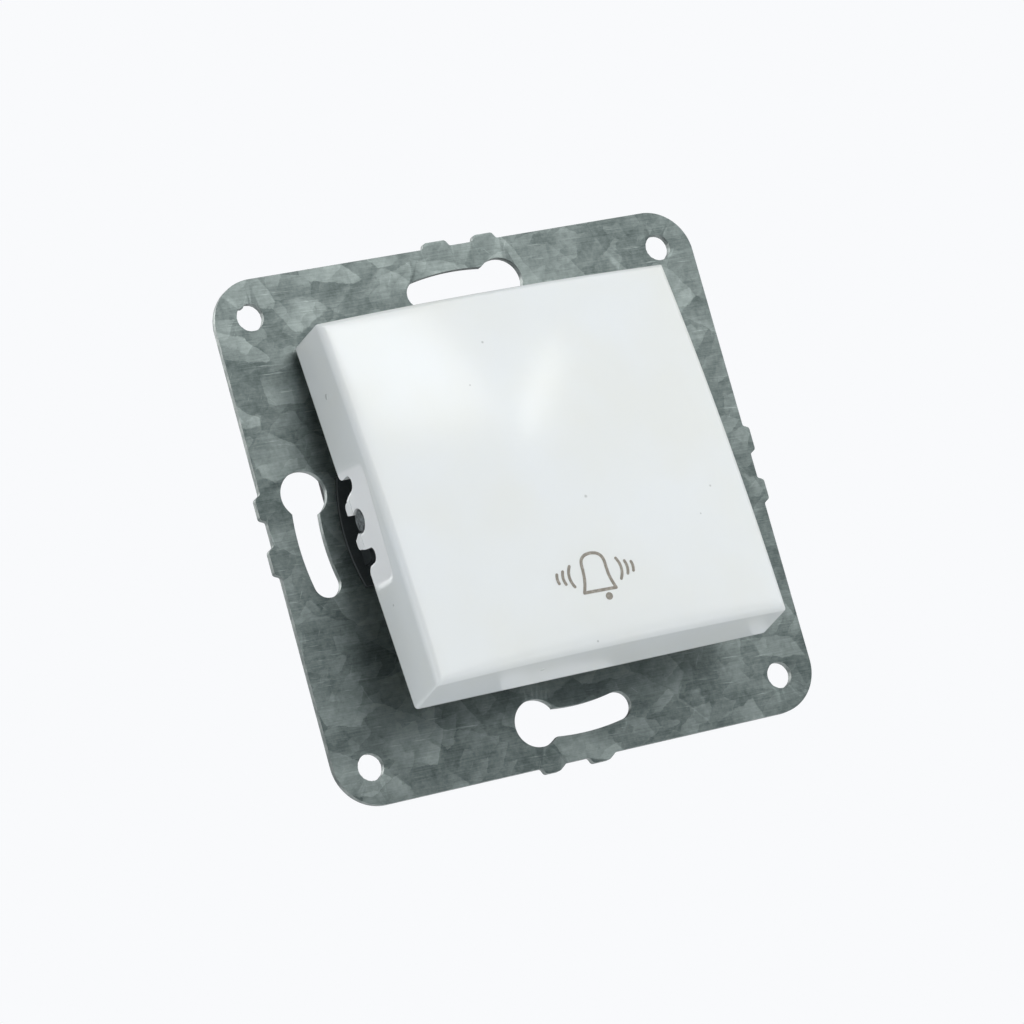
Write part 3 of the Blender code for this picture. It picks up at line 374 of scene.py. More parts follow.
def ease_edges(
    item: bpy.types.Object,
    width: float,
    angle: float = 40.0,
    segments: int = 2,
    sharp: float = SHARP_ANGLE,
) -> bpy.types.Object:
    """Rounds the edges of a piece slightly, as moulding or pressing leaves them.

    Args:
        item: The piece.
        width: Bevel width in millimetres.
        angle: Edges that turn by more than this many degrees are rounded.
        segments: Chords in each rounding.
        sharp: Edges that still turn by more than this many degrees stay sharp in the shading.

    Returns:
        The piece as a plain mesh.
    """
    bevel = item.modifiers.new("eased edges", "BEVEL")
    bevel.width = width * MM
    bevel.segments = segments
    bevel.limit_method = "ANGLE"
    bevel.angle_limit = math.radians(angle)
    bevel.use_clamp_overlap = True
    bevel.face_strength_mode = "FSTR_AFFECTED"
    plain_mesh(item)
    item.data.shade_smooth()
    item.data.set_sharp_from_angle(angle=math.radians(sharp))
    even = item.modifiers.new("flat faces stay flat", "WEIGHTED_NORMAL")
    even.keep_sharp = True
    even.use_face_influence = True
    return plain_mesh(item)


def cut_with(
    item: bpy.types.Object, cutters: Sequence[bpy.types.Object], operation: str = "DIFFERENCE"
) -> bpy.types.Object:
    """Cuts helpers out of a piece, or joins them to it, and removes the helpers.

    Args:
        item: The piece.
        cutters: The helpers.
        operation: DIFFERENCE or UNION.

    Returns:
        The piece as a plain mesh.
    """
    for cutter in cutters:
        step = item.modifiers.new(cutter.name, "BOOLEAN")
        step.operation = operation
        step.solver = "EXACT"
        step.object = cutter
    plain_mesh(item)
    for cutter in cutters:
        bpy.data.objects.remove(cutter, do_unlink=True)
    return item


def merged_copy(node: bpy.types.Object, name: str) -> bpy.types.Object:
    """Copies a CAD node into a new piece with merged points and whole flat faces.

    Args:
        node: The CAD node.
        name: Name of the new piece.

    Returns:
        The new piece.
    """
    data = bmesh.new()
    data.from_mesh(node.data)
    bmesh.ops.remove_doubles(data, verts=data.verts, dist=MERGE_DISTANCE * MM)
    bmesh.ops.dissolve_limit(
        data,
        angle_limit=math.radians(FLAT_ANGLE),
        verts=data.verts,
        edges=data.edges,
        use_dissolve_boundaries=False,
    )
    return from_bmesh(name, data, outward=False)


# Finishes


class Finish:
    """A surface: the record's slot it stands for, and the nodes that make it."""

    # A finish's roughness lies between two ends. Its relief is a depth in millimetres, and its bump is
    # how strongly that shows.
    slot: str = ""
    title: str = ""
    rough: Flat = (0.5, 0.5)
    relief: float = 0.01
    bump: float = 0.6

    def wire(self, add: AddNode, place: bpy.types.Node) -> Inputs:
        """The shader's inputs, made from the Object coordinate in millimetres."""
        raise NotImplementedError

    def surface(
        self, add: AddNode, colour: Value, share: bpy.types.Node, height: bpy.types.Node, more: Inputs
    ) -> Inputs:
        """Puts the shader's inputs together.

        Args:
            add: Adds a node to the material.
            colour: Colour of the surface.
            share: Where it lies between the two ends of the roughness, from 0 to 1.
            height: Its relief, in units of the finish's relief depth.
            more: Further inputs.

        Returns:
            All inputs.
        """
        low, high = self.rough
        return {
            "Base Color": colour,
            "Roughness": add("ShaderNodeMapRange", {"Value": share, "To Min": low, "To Max": high}),
            "Normal": add(
                "ShaderNodeBump", {"Height": height, "Distance": self.relief * MM, "Strength": self.bump}
            ),
            **more,
        }

    def material(self) -> bpy.types.Material:
        """Builds the material once.

        Returns:
            The material, the same one each time.
        """
        found = bpy.data.materials.get(self.title)
        if found:
            return found
        made = bpy.data.materials.new(self.title)
        made.use_nodes = True
        add = partial(add_node, made.node_tree)
        metres = add("ShaderNodeTexCoord").outputs["Object"]
        place = add("ShaderNodeVectorMath", {0: metres, "Scale": 1.0 / MM}, operation="SCALE")
        feed(made.node_tree, made.node_tree.nodes["Principled BSDF"], self.wire(add, place))
        return made

    def dress(self, item: bpy.types.Object) -> bpy.types.Object:
        """Gives a piece this finish.

        Args:
            item: The piece.

        Returns:
            The same piece.
        """
        item.data.materials.clear()
        item.data.materials.append(self.material())
        return item


@dataclass(frozen=True)
class GalvanisedSteel(Finish):
    """Cold rolled sheet, hot dip galvanised and then pressed."""

    # Zinc freezes in soft leaf-like crystals a little lighter than the grey around them; rolling leaves
    # fine lines across the whole sheet, handling a few bright scratches, and shearing a paler cut edge.
    # Crystals have a width and a turn. Rolling lines have a turn, a squeeze and a width. A scratch has a
    # turn and a noise level where it starts, and all have one squeeze and width. The shares of the tone
    # are those of both crystals, the rolling lines, wide clouds and the mottle.
    slot: str = "galvanised_steel"
    title: str = "hot dip galvanised steel"
    dark: str = "#465150"
    light: str = "#b0bab7"
    # rounding is a painted shade colour: the dark line of shade along the plate's rounded edges.
    rounding: str = "#202726"
    edge: str = "#a5aba8"
    torn: str = "#848b89"
    crystals: tuple[Flat, ...] = ((4.8, 28.0), (2.0, -35.0))
    leaf: Point = (1.7, 60.0, 1.0)
    leaf_fade: float = 1.6
    leaf_levels: Flat = (0.42, 1.0)
    waviness: Point = (1.6, 0.0, 1.6)
    mottle: float = 0.7
    rolling: Point = (0.8, 0.04, 0.2)
    scratches: tuple[Flat, ...] = ((4.0, 0.66), (-62.0, 0.71), (48.0, 0.72))
    scratch: Flat = (0.05, 0.28)
    scratch_onset: float = 0.06
    scratch_shine: float = 0.3
    shares: tuple[float, ...] = (0.24, 0.16, 0.15, 0.1, 0.14)
    rounded_from: Flat = (0.85, 0.995)
    rounded_least: float = 0.25
    cut_from: Flat = (0.35, 0.1)
    rolling_depth: float = 0.6
    rough: Flat = (0.46, 0.34)
    relief: float = 0.012
    bump: float = 0.7

    def lines(
        self, add: AddNode, place: bpy.types.Node, turn: float, squeeze: float, width: float
    ) -> bpy.types.Node:
        """Noise drawn out along lines in the sheet.

        Args:
            add: Adds a node to the material.
            place: Coordinate in millimetres.
            turn: Turn of the lines in the sheet in degrees.
            squeeze: Ratio of a line's width to its length.
            width: Width of a line in millimetres.

        Returns:
            The noise node.
        """
        drawn = add(
            "ShaderNodeMapping",
            {"Vector": place, "Rotation": (0.0, math.radians(turn), 0.0), "Scale": (1 / squeeze, 1.0, 1.0)},
            vector_type="TEXTURE",
        )
        streaks = {"Vector": drawn, "Scale": 1 / width, "Detail": 3.0, "Roughness": 0.6}
        return add("ShaderNodeTexNoise", streaks)

    def leaves(self, add: AddNode, bent: bpy.types.Node, size: float, turn: float) -> bpy.types.Node:
        """Crystals of one size, each of its own tone and fading towards one side.

        Args:
            add: Adds a node to the material.
            bent: Coordinate in millimetres, made wavy.
            size: Width of a crystal in millimetres.
            turn: Turn of the crystals in the sheet in degrees.

        Returns:
            The node that gives their tone.
        """
        leaf = add(
            "ShaderNodeMapping",
            {"Vector": bent, "Rotation": (0.0, math.radians(turn), 0.0), "Scale": self.leaf},
            vector_type="TEXTURE",
        )
        blurred = {"Vector": leaf, "Scale": 1 / size, "Smoothness": 0.06}
        cells = add("ShaderNodeTexVoronoi", blurred, feature="SMOOTH_F1")
        colour, middle = cells.outputs["Color"], cells.outputs["Position"]
        random_side = add("ShaderNodeVectorMath", {0: colour, 1: (0.5, 0.5, 0.5)}, operation="SUBTRACT")
        within = add("ShaderNodeVectorMath", {0: leaf, 1: middle}, operation="SUBTRACT")
        fade = add("ShaderNodeVectorMath", {0: within, 1: random_side}, operation="DOT_PRODUCT")
        steep = self.leaf_fade / size
        tint = add("ShaderNodeSeparateColor", {0: colour})
        tint = add("ShaderNodeMath", {0: fade.outputs["Value"], 1: steep, 2: tint}, operation="MULTIPLY_ADD")
        low, high = self.leaf_levels
        return add("ShaderNodeMapRange", {"Value": tint, "From Min": low, "From Max": high})

    def cut_edges(self, add: AddNode, place: bpy.types.Node, zinc: bpy.types.Node) -> bpy.types.Node:
        """The zinc with painted shade on its edge roundings and bare, partly torn steel on the sheared edges.

        Args:
            add: Adds a node to the material.
            place: Coordinate in millimetres.
            zinc: Colour of the flat sheet.

        Returns:
            The colour of the whole plate.
        """
        normal = add("ShaderNodeNewGeometry").outputs["Normal"]
        facing = add("ShaderNodeSeparateXYZ", {0: normal}).outputs["Y"]
        flatness = add("ShaderNodeMath", {0: facing}, operation="ABSOLUTE")
        # Painted shade: the rounded faces between the flat sheet and its cut edges take the dark rounding
        # colour.
        low, high = self.rounded_from
        rolled = add(
            "ShaderNodeMapRange",
            {"Value": flatness, "From Min": low, "From Max": high, "To Min": self.rounded_least},
        )
        dulled = add("ShaderNodeMix", {0: rolled, 6: linear(self.rounding), 7: zinc}, data_type="RGBA")
        start, whole = self.cut_from
        cut = add("ShaderNodeMapRange", {"Value": flatness, "From Min": start, "From Max": whole})
        torn = patches(add, place, scale=1.0, span=(0.4, 0.62))
        bare = add("ShaderNodeMix", {0: torn, 6: linear(self.torn), 7: linear(self.edge)}, data_type="RGBA")
        return add("ShaderNodeMix", {0: cut, 6: dulled, 7: bare}, data_type="RGBA")

    def wire(self, add: AddNode, place: bpy.types.Node) -> Inputs:
        """Crystals, rolling lines, scratches, pits and sheared edges.

        Args:
            add: Adds a node to the material.
            place: Coordinate in millimetres.

        Returns:
            The shader's inputs.
        """
        wobble = add("ShaderNodeTexNoise", {"Vector": place, "Scale": 0.35, "Detail": 6.0, "Roughness": 0.62})
        bent = add(
            "ShaderNodeVectorMath",
            {0: wobble.outputs["Color"], 1: self.waviness, 2: place},
            operation="MULTIPLY_ADD",
        )
        rolling = self.lines(add, place, *self.rolling)
        layers = [self.leaves(add, bent, size, turn) for size, turn in self.crystals]
        layers.append(add("ShaderNodeMapRange", {"Value": rolling, "From Min": 0.3, "From Max": 0.7}))
        layers.append(patches(add, place, scale=0.13, span=(0.35, 0.65), detail=3.0))
        layers.append(patches(add, place, scale=1 / self.mottle, span=(0.35, 0.65), detail=4.0, rough=0.65))
        tone: Value = 0.0
        for layer, share in zip(layers, self.shares):
            tone = add("ShaderNodeMath", {0: layer, 1: share, 2: tone}, operation="MULTIPLY_ADD")
        for turn, low in self.scratches:
            thin = self.lines(add, place, turn, *self.scratch)
            high = low + self.scratch_onset
            mark = add(
                "ShaderNodeMapRange",
                {"Value": thin, "From Min": low, "From Max": high, "To Max": self.scratch_shine},
            )
            tone = add("ShaderNodeMath", {0: tone, 1: mark}, operation="ADD")
        pits = patches(add, place, scale=1.6, span=(0.24, 0.3), ends=(0.75, 1.0))
        tone = add("ShaderNodeMath", {0: tone, 1: pits}, operation="MULTIPLY")
        zinc = add("ShaderNodeMix", {0: tone, 6: linear(self.dark), 7: linear(self.light)}, data_type="RGBA")
        height = add("ShaderNodeMath", {0: rolling, 1: self.rolling_depth, 2: pits}, operation="MULTIPLY_ADD")
        return self.surface(add, self.cut_edges(add, place, zinc), tone, height, {"Metallic": 0.85})


@dataclass(frozen=True)
class WhiteMoulding(Finish):
    """Injection moulded ABS with a polished face."""

    # A bright cool white with a soft gloss and a very shallow ripple; the floor of the side pockets is
    # painted lighter, as painted light, and there are a few specks of dust and two tiny pips. Specks and
    # pips are given by x, along, up and radius in the cover's frame.
    slot: str = "white_plastic"
    title: str = "moulded white thermoplastic"
    body: str = "#eef1f2"
    warm: str = "#ecede8"
    milky: str = "#ffffff"
    speck: str = "#6f7470"
    patch: float = 14.0
    ripple: float = 7.0
    ripple_share: float = 0.2
    rough: Flat = (0.135, 0.165)
    relief: float = 0.08
    light_reach: float = 1.5
    pocket_blend: float = 1.4
    pocket_rim: Flat = (-0.1, 0.35)
    pocket_facing: Flat = (0.9, 0.97)
    dust: tuple[Spot, ...] = (
        (1.54, -5.63, 9.37, 0.17),
        (19.9, -7.2, 8.25, 0.13),
        (-4.9, 17.9, 8.63, 0.14),
        (-2.95, -24.5, 8.0, 0.12),
        (17.1, -10.7, 8.4, 0.1),
        (-8.75, 12.3, 8.9, 0.1),
        (-25.7, -12.5, 1.9, 0.14),
    )
    dust_strength: float = 0.42
    dust_fade: Flat = (0.5, 1.6)
    pips: tuple[Spot, ...] = ((-25.66, 16.5, 2.6, 0.42), (-9.5, -25.4, 3.5, 0.3))
    pip_height: float = 7.0

    def pocket(self, add: AddNode, place: bpy.types.Node) -> bpy.types.Node:
        """Finds the floor of the side pockets from the pocket's outline.

        Args:
            add: Adds a node to the material.
            place: Coordinate in millimetres.

        Returns:
            The node that gives 1 on that floor and 0 elsewhere.
        """
        pivot = COVER_PLACE.row(0.0, 0.0, 0.0)
        depth: Value = 99.0
        corners = [(-a, h - COVER_PLACE.above_rim) for a, h in COVER_PLACE.pocket]
        for (a0, h0), (a1, h1) in zip(corners, corners[1:]):
            length = math.hypot(a1 - a0, h1 - h0)
            inward = (COVER_PLACE.row(0.0, (h0 - h1) / length, (a1 - a0) / length) - pivot) / MM
            start = inward.dot(COVER_PLACE.row(0.0, a0, h0) / MM)
            along = add("ShaderNodeVectorMath", {0: place, 1: inward}, operation="DOT_PRODUCT")
            gap = add("ShaderNodeMath", {0: along.outputs["Value"], 1: start}, operation="SUBTRACT")
            depth = add("ShaderNodeMath", {0: gap, 1: depth, 2: self.pocket_blend}, operation="SMOOTH_MIN")
        low, high = self.pocket_rim
        inside = add("ShaderNodeMapRange", {"Value": depth, "From Min": low, "From Max": high})
        normal = add("ShaderNodeNewGeometry").outputs["Normal"]
        aside = add("ShaderNodeMath", {0: add("ShaderNodeSeparateXYZ", {0: normal})}, operation="ABSOLUTE")
        low, high = self.pocket_facing
        wall = add("ShaderNodeMapRange", {"Value": aside, "From Min": low, "From Max": high})
        return add("ShaderNodeMath", {0: inside, 1: wall}, operation="MULTIPLY")

    def blob(
        self, add: AddNode, place: bpy.types.Node, spot: Spot, span: Flat, strength: float
    ) -> bpy.types.Node:
        """A round blob on the cover that fades outwards.

        Args:
            add: Adds a node to the material.
            place: Coordinate in millimetres.
            spot: Its place in the cover's frame and its radius.
            span: Where it starts to fade and where it ends, as shares of the radius.
            strength: What it gives in its middle.

        Returns:
            The node that gives the blob.
        """
        x, along, up, radius = spot
        middle = COVER_PLACE.row(x, along, up) / MM
        gap = add("ShaderNodeVectorMath", {0: place, 1: middle}, operation="DISTANCE").outputs["Value"]
        near, far = radius * span[0], radius * span[1]
        return add(
            "ShaderNodeMapRange",
            {"Value": gap, "From Min": near, "From Max": far, "To Min": strength, "To Max": 0.0},
        )

    def wire(self, add: AddNode, place: bpy.types.Node) -> Inputs:
        """A faint flow of colour, the painted light on the pockets' floor, specks, pips and the ripple.

        Args:
            add: Adds a node to the material.
            place: Coordinate in millimetres.

        Returns:
            The shader's inputs.
        """
        flow = patches(add, place, scale=1 / self.patch, span=(0.35, 0.65), ends=(0.0, 0.6))
        colour = add("ShaderNodeMix", {0: flow, 6: linear(self.body), 7: linear(self.warm)}, data_type="RGBA")
        # Painted light: the pocket floor is made lighter than the wall around it.
        pocket = self.pocket(add, place)
        colour = add("ShaderNodeMix", {0: pocket, 6: colour, 7: linear(self.milky)}, data_type="RGBA")
        for spot in self.dust:
            speck = self.blob(add, place, spot, self.dust_fade, self.dust_strength)
            colour = add("ShaderNodeMix", {0: speck, 6: colour, 7: linear(self.speck)}, data_type="RGBA")
        ripple = add("ShaderNodeTexNoise", {"Vector": place, "Scale": 1 / self.ripple})
        height = add("ShaderNodeMath", {0: ripple, 1: self.ripple_share}, operation="MULTIPLY")
        for spot in self.pips:
            pip = self.blob(add, place, spot, (0.0, 1.0), self.pip_height)
            height = add("ShaderNodeMath", {0: height, 1: pip}, operation="ADD")
        more = {
            "IOR": 1.52,
            "Subsurface Weight": 0.12,
            "Subsurface Scale": self.light_reach * MM,
            "Subsurface Radius": (1.0, 0.95, 0.85),
        }
        return self.surface(add, colour, flow, height, more)


@dataclass(frozen=True)
class GreyMoulding(Finish):
    """Injection moulded glass filled polyamide."""

    # Nearly black grey and satin, with a fine sparkle of fibres near the skin; the ends of the
    # trunnions are painted pale and mottled, partly wear from the clips and partly painted highlight. A
    # pale end has its y and z in the face frame, a radius and a strength.
    slot: str = "grey_plastic"
    title: str = "dark glass filled polyamide"
    body: str = "#222728"
    fibre: str = "#3d4446"
    scuff: str = "#7e8587"
    stretch: Point = (2.0, 6.0, 6.0)
    cloud_share: float = 0.25
    grain: float = 0.3
    rough: Flat = (0.55, 0.7)
    relief: float = 0.02
    bump: float = 0.7
    rubbed: tuple[Spot, ...] = ((0.15, 7.05, 1.55, 0.8), (-3.55, 6.7, 1.35, 0.45))
    rubbed_rim: float = 0.25

    def wire(self, add: AddNode, place: bpy.types.Node) -> Inputs:
        """Fibres, the pale trunnion ends, partly wear and partly painted highlight, and the eroded texture.

        Args:
            add: Adds a node to the material.
            place: Coordinate in millimetres.

        Returns:
            The shader's inputs.
        """
        drawn = add("ShaderNodeVectorMath", {0: place, 1: self.stretch}, operation="MULTIPLY")
        fibres = patches(add, drawn, scale=1.0, span=(0.5, 0.78), ends=(0.0, 0.5), detail=3.0, rough=0.7)
        cloud = patches(add, place, scale=0.25, span=(0.3, 0.75), detail=3.0)
        share = add("ShaderNodeMath", {0: cloud, 1: self.cloud_share, 2: fibres}, operation="MULTIPLY_ADD")
        body, fibre = linear(self.body), linear(self.fibre)
        colour = add("ShaderNodeMix", {0: share, 6: body, 7: fibre}, data_type="RGBA")
        rubbing = patches(add, place, scale=1.6, span=(0.36, 0.62), detail=3.0, rough=0.7)
        flat = add("ShaderNodeVectorMath", {0: place, 1: (0.0, 1.0, 1.0)}, operation="MULTIPLY")
        normal = add("ShaderNodeNewGeometry").outputs["Normal"]
        aside = add("ShaderNodeMath", {0: add("ShaderNodeSeparateXYZ", {0: normal})}, operation="ABSOLUTE")
        # Pale mottled patches on the trunnion ends: partly wear, partly painted highlight.
        for y, z, radius, strength in self.rubbed:
            axis = stand(0.0, y, z) / MM
            reach = add("ShaderNodeVectorMath", {0: flat, 1: axis}, operation="DISTANCE").outputs["Value"]
            rim = radius - self.rubbed_rim
            near = add(
                "ShaderNodeMapRange",
                {"Value": reach, "From Min": rim, "From Max": radius, "To Min": strength, "To Max": 0.0},
            )
            near = add("ShaderNodeMath", {0: near, 1: aside}, operation="MULTIPLY")
            rubbed = add("ShaderNodeMath", {0: near, 1: rubbing}, operation="MULTIPLY")
            colour = add("ShaderNodeMix", {0: rubbed, 6: colour, 7: linear(self.scuff)}, data_type="RGBA")
        grain = add("ShaderNodeTexNoise", {"Vector": place, "Scale": 1 / self.grain, "Detail": 3.0})
        return self.surface(add, colour, cloud, grain, {"IOR": 1.53})


@dataclass(frozen=True)
class NaturalMoulding(Finish):
    """Injection moulded acetal left in its own colour."""

    # Milky off-white that light enters a little, with faint flow lines.
    slot: str = "natural_plastic"
    title: str = "natural acetal"
    body: str = "#d9d6cb"
    flow: str = "#c9c5b6"
    stretch: Point = (0.8, 0.25, 0.8)
    skin: float = 0.4
    rough: Flat = (0.3, 0.42)
    relief: float = 0.01
    bump: float = 0.5

    def wire(self, add: AddNode, place: bpy.types.Node) -> Inputs:
        """Flow lines and a soft texture.

        Args:
            add: Adds a node to the material.
            place: Coordinate in millimetres.

        Returns:
            The shader's inputs.
        """
        drawn = add("ShaderNodeVectorMath", {0: place, 1: self.stretch}, operation="MULTIPLY")
        lines = patches(add, drawn, scale=1.0, span=(0.3, 0.7), detail=3.0)
        skin = add("ShaderNodeTexNoise", {"Vector": place, "Scale": 1 / self.skin})
        body, flow = linear(self.body), linear(self.flow)
        colour = add("ShaderNodeMix", {0: lines, 6: body, 7: flow}, data_type="RGBA")
        more = {"IOR": 1.48, "Subsurface Weight": 0.2, "Subsurface Scale": 1.0 * MM}
        return self.surface(add, colour, lines, skin, more)


@dataclass(frozen=True)
class Metalwork(Finish):
    """A small metal part: blanked, turned or drawn, with marks along one direction."""

    # Each metal shows its own colour through fine tool marks, with duller tarnished patches.
    slot: str = "brass"
    title: str = "turned and blanked brass"
    body: str = "#c9a45c"
    tarnish: str = "#8f6f38"
    marks: float = 0.12
    rough: Flat = (0.28, 0.48)
    grip: Point = (0.15, 1.0, 1.0)
    relief: float = 0.006

    def wire(self, add: AddNode, place: bpy.types.Node) -> Inputs:
        """Tarnish, tool marks and roughness.

        Args:
            add: Adds a node to the material.
            place: Coordinate in millimetres.

        Returns:
            The shader's inputs.
        """
        drawn = add("ShaderNodeVectorMath", {0: place, 1: self.grip}, operation="MULTIPLY")
        lines = add("ShaderNodeTexNoise", {"Vector": drawn, "Scale": 1 / self.marks})
        dull = patches(add, place, scale=0.6, span=(0.42, 0.7), detail=3.0)
        body, tarnish = linear(self.body), linear(self.tarnish)
        colour = add("ShaderNodeMix", {0: dull, 6: body, 7: tarnish}, data_type="RGBA")
        return self.surface(add, colour, dull, lines, {"Metallic": 1.0})


@dataclass(frozen=True)
class PadPrint(Finish):
    """Pad printed ink on the cover."""

    # A matt warm grey film, a little thinner in places so that the white shows through.
    slot: str = "white_plastic"
    title: str = "pad printed grey ink"
    ink: str = "#8f887d"
    thin: str = "#b3ada3"
    rough: Flat = (0.5, 0.4)
    relief: float = 0.004

    def wire(self, add: AddNode, place: bpy.types.Node) -> Inputs:
        """The uneven film and its faint texture.

        Args:
            add: Adds a node to the material.
            place: Coordinate in millimetres.

        Returns:
            The shader's inputs.
        """
        film = patches(add, place, scale=2.0, span=(0.45, 0.75), detail=3.0, rough=0.7)
        skin = add("ShaderNodeTexNoise", {"Vector": place, "Scale": 8.0})
        colour = add("ShaderNodeMix", {0: film, 6: linear(self.ink), 7: linear(self.thin)}, data_type="RGBA")
        return self.surface(add, colour, film, skin, {})


STEEL = GalvanisedSteel()
WHITE = WhiteMoulding()
GREY = GreyMoulding()
NATURAL = NaturalMoulding()
BRASS = Metalwork()
SILVER = Metalwork("silver", "silver contact alloy", "#dcdad4", "#a8a49b", 0.1, (0.22, 0.42), ALIKE)
WIRE = Metalwork("spring_steel", "drawn spring wire", "#9a9da1", "#6c6f74", 0.08, (0.25, 0.45), ALIKE)
ZINC = Metalwork("zinc_plated_steel", "zinc plated steel", "#b9bdc2", "#8d949b", 0.1, (0.3, 0.5), ALIKE)
INK = PadPrint()


# Where the cover sits


@dataclass(frozen=True)
class CoverPlace:
    """The cover's own frame: its pivot in the face frame and its tilt at rest."""

    y: float = 0.15
    z: float = 7.054
    tilt: float = 7.9
    above_rim: float = 1.5
    pocket: tuple[Flat, ...] = ((-7.9, -2.0), (-5.7, 7.6), (9.9, 6.0), (8.5, -2.0))

    def row(self, x: float, along: float, up: float) -> Vector:
        """A point of the cover's frame in the row frame, in metres."""
        c, s = math.cos(math.radians(self.tilt)), math.sin(math.radians(self.tilt))
        return stand(x, self.y + along * c + up * s, self.z - along * s + up * c)


COVER_PLACE = CoverPlace()


# Sub-assemblies


@dataclass
class SupportPlate:
    """Pressed galvanised plate with keyholes, corner holes and stop tabs."""

    # A tab has its start along the edge and its width. The flanks are how far the first and the last
    # flank of a tab lean in, on the top, left, lower and right edge in turn.
    side: float = 71.0
    thickness: float = 1.0
    corner_radius: float = 6.2
    fixing_radius: float = 30.2
    slot_width: float = 3.8
    slot_end: float = 11.4
    head_radius: float = 3.2
    head_angle: float = 11.6
    bay_radius: float = 25.76
    opening_radius: float = 24.16
    bay_half_width: float = 7.56
    corner_hole_inset: float = 5.1
    corner_hole_radius: float = 1.8
    corner_hole_points: int = 60
    tab_height: float = 0.85
    tabs: tuple[Flat, ...] = ((3.5, 3.6), (-3.9, 4.0))
    flanks: tuple[Flat, ...] = ((0.4, 0.5), (0.4, 0.5), (1.2, 0.4), (0.4, 0.5))
    tab_corner: float = 0.3
    tab_lead: float = 0.5
    tab_bend_steps: int = 4
    rivet_circle: float = 29.0
    rivet_hole: float = 1.2
    shear_radius: float = 0.15
    shear_angle: float = 50.0
    shear_steps: int = 3
    ragged: float = 0.012
    burr_quarter: int = 1
    burr_angle: float = 116.0
    burr_spread: float = 9.0
    burr_height: float = 0.34
    burr_hole_wider: float = 0.06
    seed: int = 5

    def outline(self) -> list[Flat]:
        """Draws the square with arc corners and two tabs on each edge.

        Returns:
            The closed outline.
        """
        half = self.side / 2
        corner = half - self.corner_radius
        points: list[Flat] = []
        for quarter, (first, last) in enumerate(self.flanks):
            side = arc((corner, corner), self.corner_radius, 0, 90, 28)
            for start, width in self.tabs:
                side += self.tab(start, width, first, last)
            points += turned(side, 90 * quarter)
        return points

    def tab(self, start: float, width: float, first: float, last: float) -> list[Flat]:
        """Draws one stop tab of the top edge with rounded corners, from its far end to its near one.

        Args:
            start: Where the tab starts along the edge.
            width: Its width at the edge.
            first: How far its flank at the start leans in.
            last: How far its other flank leans in.

        Returns:
            Its points.
        """
        base = self.side / 2
        top = base + self.tab_height
        end = start + width
        corners = [
            (end + self.tab_lead, base),
            (end, base),
            (end - last, top),
            (start + first, top),
            (start, base),
            (start - self.tab_lead, base),
        ]
        points: list[Flat] = [corners[0]]
        for before, here, after in zip(corners, corners[1:], corners[2:]):
            near, far = Vector(before) - Vector(here), Vector(after) - Vector(here)
            reach = min(self.tab_corner, near.length / 2.2, far.length / 2.2)
            enter, leave = Vector(here) + near.normalized() * reach, Vector(here) + far.normalized() * reach
            for i in range(self.tab_bend_steps + 1):
                t = i / self.tab_bend_steps
                bend = enter.lerp(Vector(here), t).lerp(Vector(here).lerp(leave, t), t)
                points.append((bend.x, bend.y))
        points.append(corners[-1])
        return points

    def keyhole(self) -> list[Flat]:
        """Draws the top keyhole: a round head at one end of an arc slot about the plate's centre.

        Returns:
            The closed outline.
        """
        half = self.slot_width / 2
        head, end = 90 - self.head_angle, 90 + self.slot_end
        radius = self.fixing_radius
        head_centre = arc((0, 0), radius, head, head, 1)[0]
        end_centre = arc((0, 0), radius, end, end, 1)[0]
        meet = math.degrees(math.asin(half / self.head_radius))
        reach = self.head_radius * math.cos(math.radians(meet))
        first = head + math.degrees(reach / radius)
        outline = arc((0, 0), radius + half, first, end, 20)
        outline += arc(end_centre, half, end, end + 180, 20)[1:-1]
        outline += arc((0, 0), radius - half, end, first, 20)
        outline += arc(head_centre, self.head_radius, head + 90 + meet, head + 450 - meet, 52)[1:-1]
        return outline

    def opening(self) -> list[Flat]:
        """Draws the round opening with a bay at each side for the bearing ears.

        Returns:
            The closed outline.
        """
        bay = math.degrees(math.asin(self.bay_half_width / self.bay_radius))
        rest = math.degrees(math.asin(self.bay_half_width / self.opening_radius))
        points: list[Flat] = []
        for start in (0, 180):
            points += arc((0, 0), self.bay_radius, start - bay, start + bay, 24)
            points += arc((0, 0), self.opening_radius, start + rest, start + 180 - rest, 80)
        return points

    def corner_hole(self, quarter: int, dice: random.Random) -> list[Flat]:
        """Draws a punched corner hole; the one at the top left keeps a small burr.

        Args:
            quarter: Quarter turns from the top right corner.
            dice: Gives the small unevenness of a punched edge.

        Returns:
            The closed outline.
        """
        place = self.side / 2 - self.corner_hole_inset
        ring: list[Flat] = []
        for i in range(self.corner_hole_points):
            angle = 360 * i / self.corner_hole_points
            radius = self.corner_hole_radius + dice.gauss(0, self.ragged)
            if quarter == self.burr_quarter:
                away = (angle - self.burr_angle) / self.burr_spread
                radius += self.burr_hole_wider - self.burr_height * math.exp(-(away**2))
            ring += arc((0, 0), radius, angle, angle, 1)[:1]
        centre = turned([(place, place)], 90 * quarter)[0]
        return [(x + centre[0], y + centre[1]) for x, y in ring]

    def build(self) -> bpy.types.Object:
        """Builds and dresses the plate.

        Returns:
            The plate.
        """
        dice = random.Random(self.seed)
        holes = [self.opening()]
        holes += [turned(self.keyhole(), 90 * quarter) for quarter in range(4)]
        holes += [self.corner_hole(quarter, dice) for quarter in range(4)]
        reach = self.rivet_circle / math.sqrt(2)
        for x, y in ((reach, reach), (-reach, reach), (-reach, -reach), (reach, -reach)):
            holes.append(round_hole((x, y), self.rivet_hole, 24))
        item = pierced("steel_plate", self.outline(), holes, stand, 0.0, self.thickness)
        ease_edges(item, self.shear_radius, self.shear_angle, self.shear_steps)
        STEEL.dress(item)
        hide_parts("support_plate")
        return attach(item, Body.FIXED.value)


